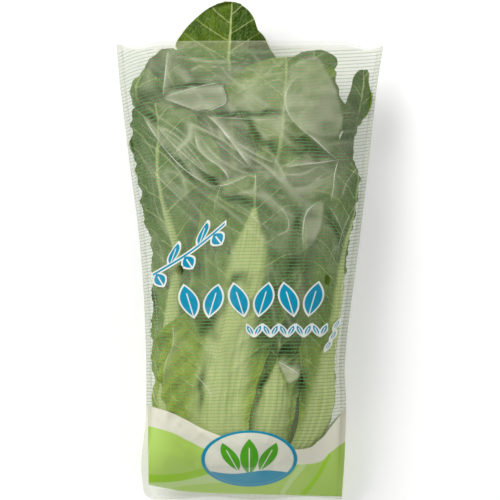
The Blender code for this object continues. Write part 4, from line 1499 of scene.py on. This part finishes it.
def film_material():
    material, shader, sums = new_material("printed_film", **FILM_LOOKS)
    x, y = sums.uv("print")
    real_x, real_y, _ = sums.parts(sums.place())
    white, air, ink = sums.attribute("white"), sums.attribute("air"), sums.attribute("ink")
    wave = edge(sums, across_curve(sums, real_x, WAVE_TOP) - real_y)
    field = edge(sums, across_curve(sums, real_x, FIELD_TOP) - real_y)
    inked = edge(sums, real_x - FOOT_LEFT) * edge(sums, real_y - across_curve(sums, real_x, FOOT_BOTTOM))
    line = sums.below(0.17, 0.11, abs(sums.math("FRACT", y / LINE_PITCH) - 0.5))
    line = line * (1.0 - wave) * sums.math("LESS_THAN", real_y, LINE_TOP) * ink
    # Whitened film and painted highlights: the film turns towards the white colour and grows more opaque
    # along its creases, flaps and folds.
    colour = sums.mix(sums.least(1.0, white * 1.3), BARE_FILM, WHITE_FILM)
    bare = CLEAR + sums.step(-0.105, 0.030, real_y) * LOOSE + air * AIRY + white * WHITE_AND_HIGHLIGHT
    bare = sums.least(sums.most(bare, sums.attribute("free") * FREE), THICKEST)
    faint = 1.0 - sums.least(0.45, white * 1.1)
    colour = sums.mix(line * faint * LINE_SHARE, colour, LINE_GREEN)
    alpha = sums.most(bare, line * (LINE_ALPHA + white * 0.3))
    wave, field = wave * inked, field * inked
    colour = sums.mix(wave, colour, BAND_WHITE)
    # Painted shade: the lime turns a little darker towards the field's right side.
    lime = sums.mix(sums.step(0.000, 0.040, real_x), LIME, LIME_SHADED_RIGHT)
    for *path, tint in SWOOSHES:
        lime = sums.mix(stroke(sums, real_x, real_y, *path)[0], lime, tint)
    colour = sums.mix(field, colour, lime)
    alpha = sums.most(alpha, wave * INK_ALPHA)
    motifs = [leaf_row(sums, x, y, LEAF_ROW), leaf_row(sums, x, y, SMALL_ROW), sprig(sums, x, y)]
    motifs += [leaf_shape(sums, x - px, y - py, CLIMBER_LEAN, CLIMBER_HALF) for px, py in CLIMBERS]
    for shape, outline in motifs:
        outline = outline * ink
        colour = sums.mix(outline, colour, MOTIF_EDGE)
        colour = sums.mix(shape * ink, colour, INK_BLUE)
        alpha = sums.most(alpha, outline * INK_ALPHA)
    with_badge, whole = badge(sums, real_x, real_y, colour)
    sums.plug(shader.inputs["Base Color"], sums.mix(ink, colour, with_badge))
    sums.plug(shader.inputs["Alpha"], sums.most(alpha, whole * ink * BADGE_ALPHA))
    return material


film = film_material()
for sheet in (front_sheet, back_sheet):
    sheet.data.materials.append(film)

# %% [markdown]
# ## Creases' crests and the welds
#
# Each crease's crest carries the white of bent film and a painted highlight in a line finer than the sheet's
# own grid, so each crest is a ribbon of its own, narrowest at its ends, that lies on the sheet. The side and
# foot welds are pressed strips with fine crimps across them. Both follow a path, so one Geometry Nodes tree
# sweeps them: it draws a profile along the path, as wide as the path says at each point, and can crimp it.

# %% The sweeping tree
CREST_HALF = (0.00018, 0.00050)  # half width of the faintest and of the whitest crest
CREST_LIFT = 0.00022
CREST_STEP = 0.0010
CREST_FLATNESS = 0.25  # height of the swept profile for each of its width
CRIMP_PITCH = 0.0016
CRIMP_HEIGHT = 0.00005
WELD_FLATNESS = 0.16
WELD_STEP = 0.0004
SIDE_POINTS, FOOT_POINTS = 500, 60
WELD_WHITENS = (-0.125, -0.105)  # the side welds are clear below the first y and whitened above the second


def sweep_tree():
    inputs = {"Flatness": WELD_FLATNESS, "Crimp Height": 0.0, "Crimp Pitch": CRIMP_PITCH}
    tree, sums, given = new_geometry_tree("sweep", inputs)
    path = sums.node("GeometryNodeMeshToCurve", Mesh=given["Geometry"])
    upright = sums.node("GeometryNodeSetCurveNormal", mode="Z_UP", Curve=path.outputs[0])
    run = sums.node("GeometryNodeSplineParameter").outputs["Length"]
    mark = {"Name": "run", "Geometry": upright.outputs[0], "Value": run}
    kind = {"data_type": "FLOAT", "domain": "POINT"}
    marked = sums.node("GeometryNodeStoreNamedAttribute", **kind, **mark).outputs[0]
    height = sums.math("MULTIPLY", given["Flatness"], 2.0)
    profile = sums.node("GeometryNodeCurvePrimitiveQuadrilateral", Width=2.0, Height=height).outputs[0]
    ribbon = {"Curve": marked, "Profile_Curve": profile, "Scale": sums.named("half"), "Fill_Caps": True}
    swept = sums.node("GeometryNodeCurveToMesh", **ribbon).outputs[0]
    turn = sums.named("run") / given["Crimp Pitch"] * (2 * math.pi)
    up = sums.vector(0.0, 0.0, sums.math("SINE", turn) * given["Crimp Height"])
    crimped = sums.node("GeometryNodeSetPosition", Geometry=swept, Offset=up)
    return end_geometry_tree(tree, sums, given, crimped.outputs[0])


def even_steps(points, pitch):
    """Points of a line at even distances."""
    lengths = np.linalg.norm(np.diff(points, axis=0), axis=1)
    reached = np.concatenate([[0], np.cumsum(lengths)])
    at = np.linspace(0, reached[-1], max(3, int(reached[-1] / pitch) + 1))
    return np.stack([np.interp(at, reached, points[:, k]) for k in range(points.shape[1])], axis=1)


def path_object(name, lines, attributes):
    """An object of bare edges, one chain for each line, with attributes at its points."""
    points = np.concatenate(lines)
    edges, start = [], 0
    for line in lines:
        edges += [(start + i, start + i + 1) for i in range(len(line) - 1)]
        start += len(line)
    mesh = bpy.data.meshes.new(name)
    mesh.from_pydata(points.tolist(), edges, [])
    obj = add_object(name, mesh)
    for label, values in attributes.items():
        add_attribute(obj, label, values)
    return obj


WELD_AND_HIGHLIGHT_ROUGHNESS = 0.35
# The crests are painted highlights along the creases, with the whitening of bent film; the welds are whitened
# film.
CREST_COLOUR, CREST_ALPHA = (0.86, 0.88, 0.74, 1), (0.05, 0.44)
WELD_COLOUR, WELD_ALPHA = (0.78, 0.80, 0.74, 1), (0.04, 0.13)


def weld_and_highlight_film(name, colour, alpha):
    """Whitened welds and painted crest highlights: alpha is the first number, plus the second where the path
    is white.
    """
    material, shader, sums = new_material(name, Base_Color=colour, Roughness=WELD_AND_HIGHLIGHT_ROUGHNESS)
    sums.plug(shader.inputs["Alpha"], alpha[0] + sums.attribute("white") * alpha[1])
    return material


# %% Crests
sweep = sweep_tree()
front_points = np.stack([film_x, film_y, front_z], axis=-1).reshape(-1, 3)
film_surface = BVHTree.FromPolygons(front_points.tolist(), grid_faces(*FRONT_CELLS, 0, False).tolist())
# Each crease gets a ribbon of painted highlight on the sheet, whitest where its crease is whitest.
crest_lines, crest_half, crest_white = [], [], []
for points, _, _, _, bright in CREASES:
    flat = even_steps(rounded(photo_place(points), 3), CREST_STEP)
    hits = [film_surface.ray_cast(Vector((x, y, ABOVE_ALL)), DOWN)[0] for x, y in flat]
    if any(hit is None for hit in hits):
        print("a crease leaves the sheet at", points[0])
        continue
    crest_lines.append(np.array([(h.x, h.y, h.z + CREST_LIFT) for h in hits]))
    share = np.linspace(0, 1, len(flat))
    taper = np.sqrt(plateau((0, 0.25, 0.70, 1.0), share)) + 0.15
    taper = taper * (0.80 + 0.35 * hills(*flat.T, (0.006, 0.006), 7, 83))
    crest_half.append((CREST_HALF[0] + (CREST_HALF[1] - CREST_HALF[0]) * bright) * taper)
    patchy = 0.75 + 0.45 * hills(*flat.T, (0.009, 0.009), 21, 84)
    crest_white.append(bright * np.minimum(1, taper) * patchy)
crest_looks = {"half": np.concatenate(crest_half), "white": np.concatenate(crest_white)}
crests = path_object("film_crests", crest_lines, crest_looks)
grow(crests, sweep, Flatness=CREST_FLATNESS, Finish=weld_and_highlight_film("crest_highlight_film", CREST_COLOUR, CREST_ALPHA))
print("crests:", len(crest_lines), "with", len(crests.data.polygons), "faces")

# %% Welds
_, edge_x, edge_y = film_grid((2, SIDE_POINTS))
left_line = np.stack([edge_x[:, 0] + FLANGE / 2, edge_y[:, 0]], axis=1)
right_line = np.stack([edge_x[:, -1] - FLANGE / 2, edge_y[:, -1]], axis=1)
weld_lines = []
for flat in (left_line, right_line):
    flat = even_steps(flat, WELD_STEP)
    weld_lines.append(np.column_stack([flat, smooth(WELD_Z, flat[:, 1])]))
foot_line = np.empty((FOOT_POINTS, 3))
foot_line[:, 0] = np.linspace(left_line[0, 0], right_line[0, 0], FOOT_POINTS)
foot_line[:, 1:] = FOOT_Y + FLANGE / 2, smooth(WELD_Z, FOOT_Y)
weld_lines.append(foot_line)
weld_white = step(*WELD_WHITENS, np.concatenate(weld_lines)[:, 1])
weld_looks = {"half": np.full(len(weld_white), FLANGE / 2), "white": weld_white}
welds = path_object("film_welds", weld_lines, weld_looks)
weld_inputs = {"Flatness": WELD_FLATNESS, "Crimp Height": CRIMP_HEIGHT}
grow(welds, sweep, Finish=weld_and_highlight_film("welded_film", WELD_COLOUR, WELD_ALPHA), **weld_inputs)

for piece in (front_sheet, back_sheet, crests, welds):
    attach(piece, "root")
    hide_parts("sleeve")
    print(piece.name, "has", sum(len(p.vertices) - 2 for p in piece.data.polygons), "triangles")


def sheet_area(obj):
    return sum(p.area for p in obj.data.polygons)


print("sheet areas in cm2:", round(1e4 * sheet_area(front_sheet)), round(1e4 * sheet_area(back_sheet)))
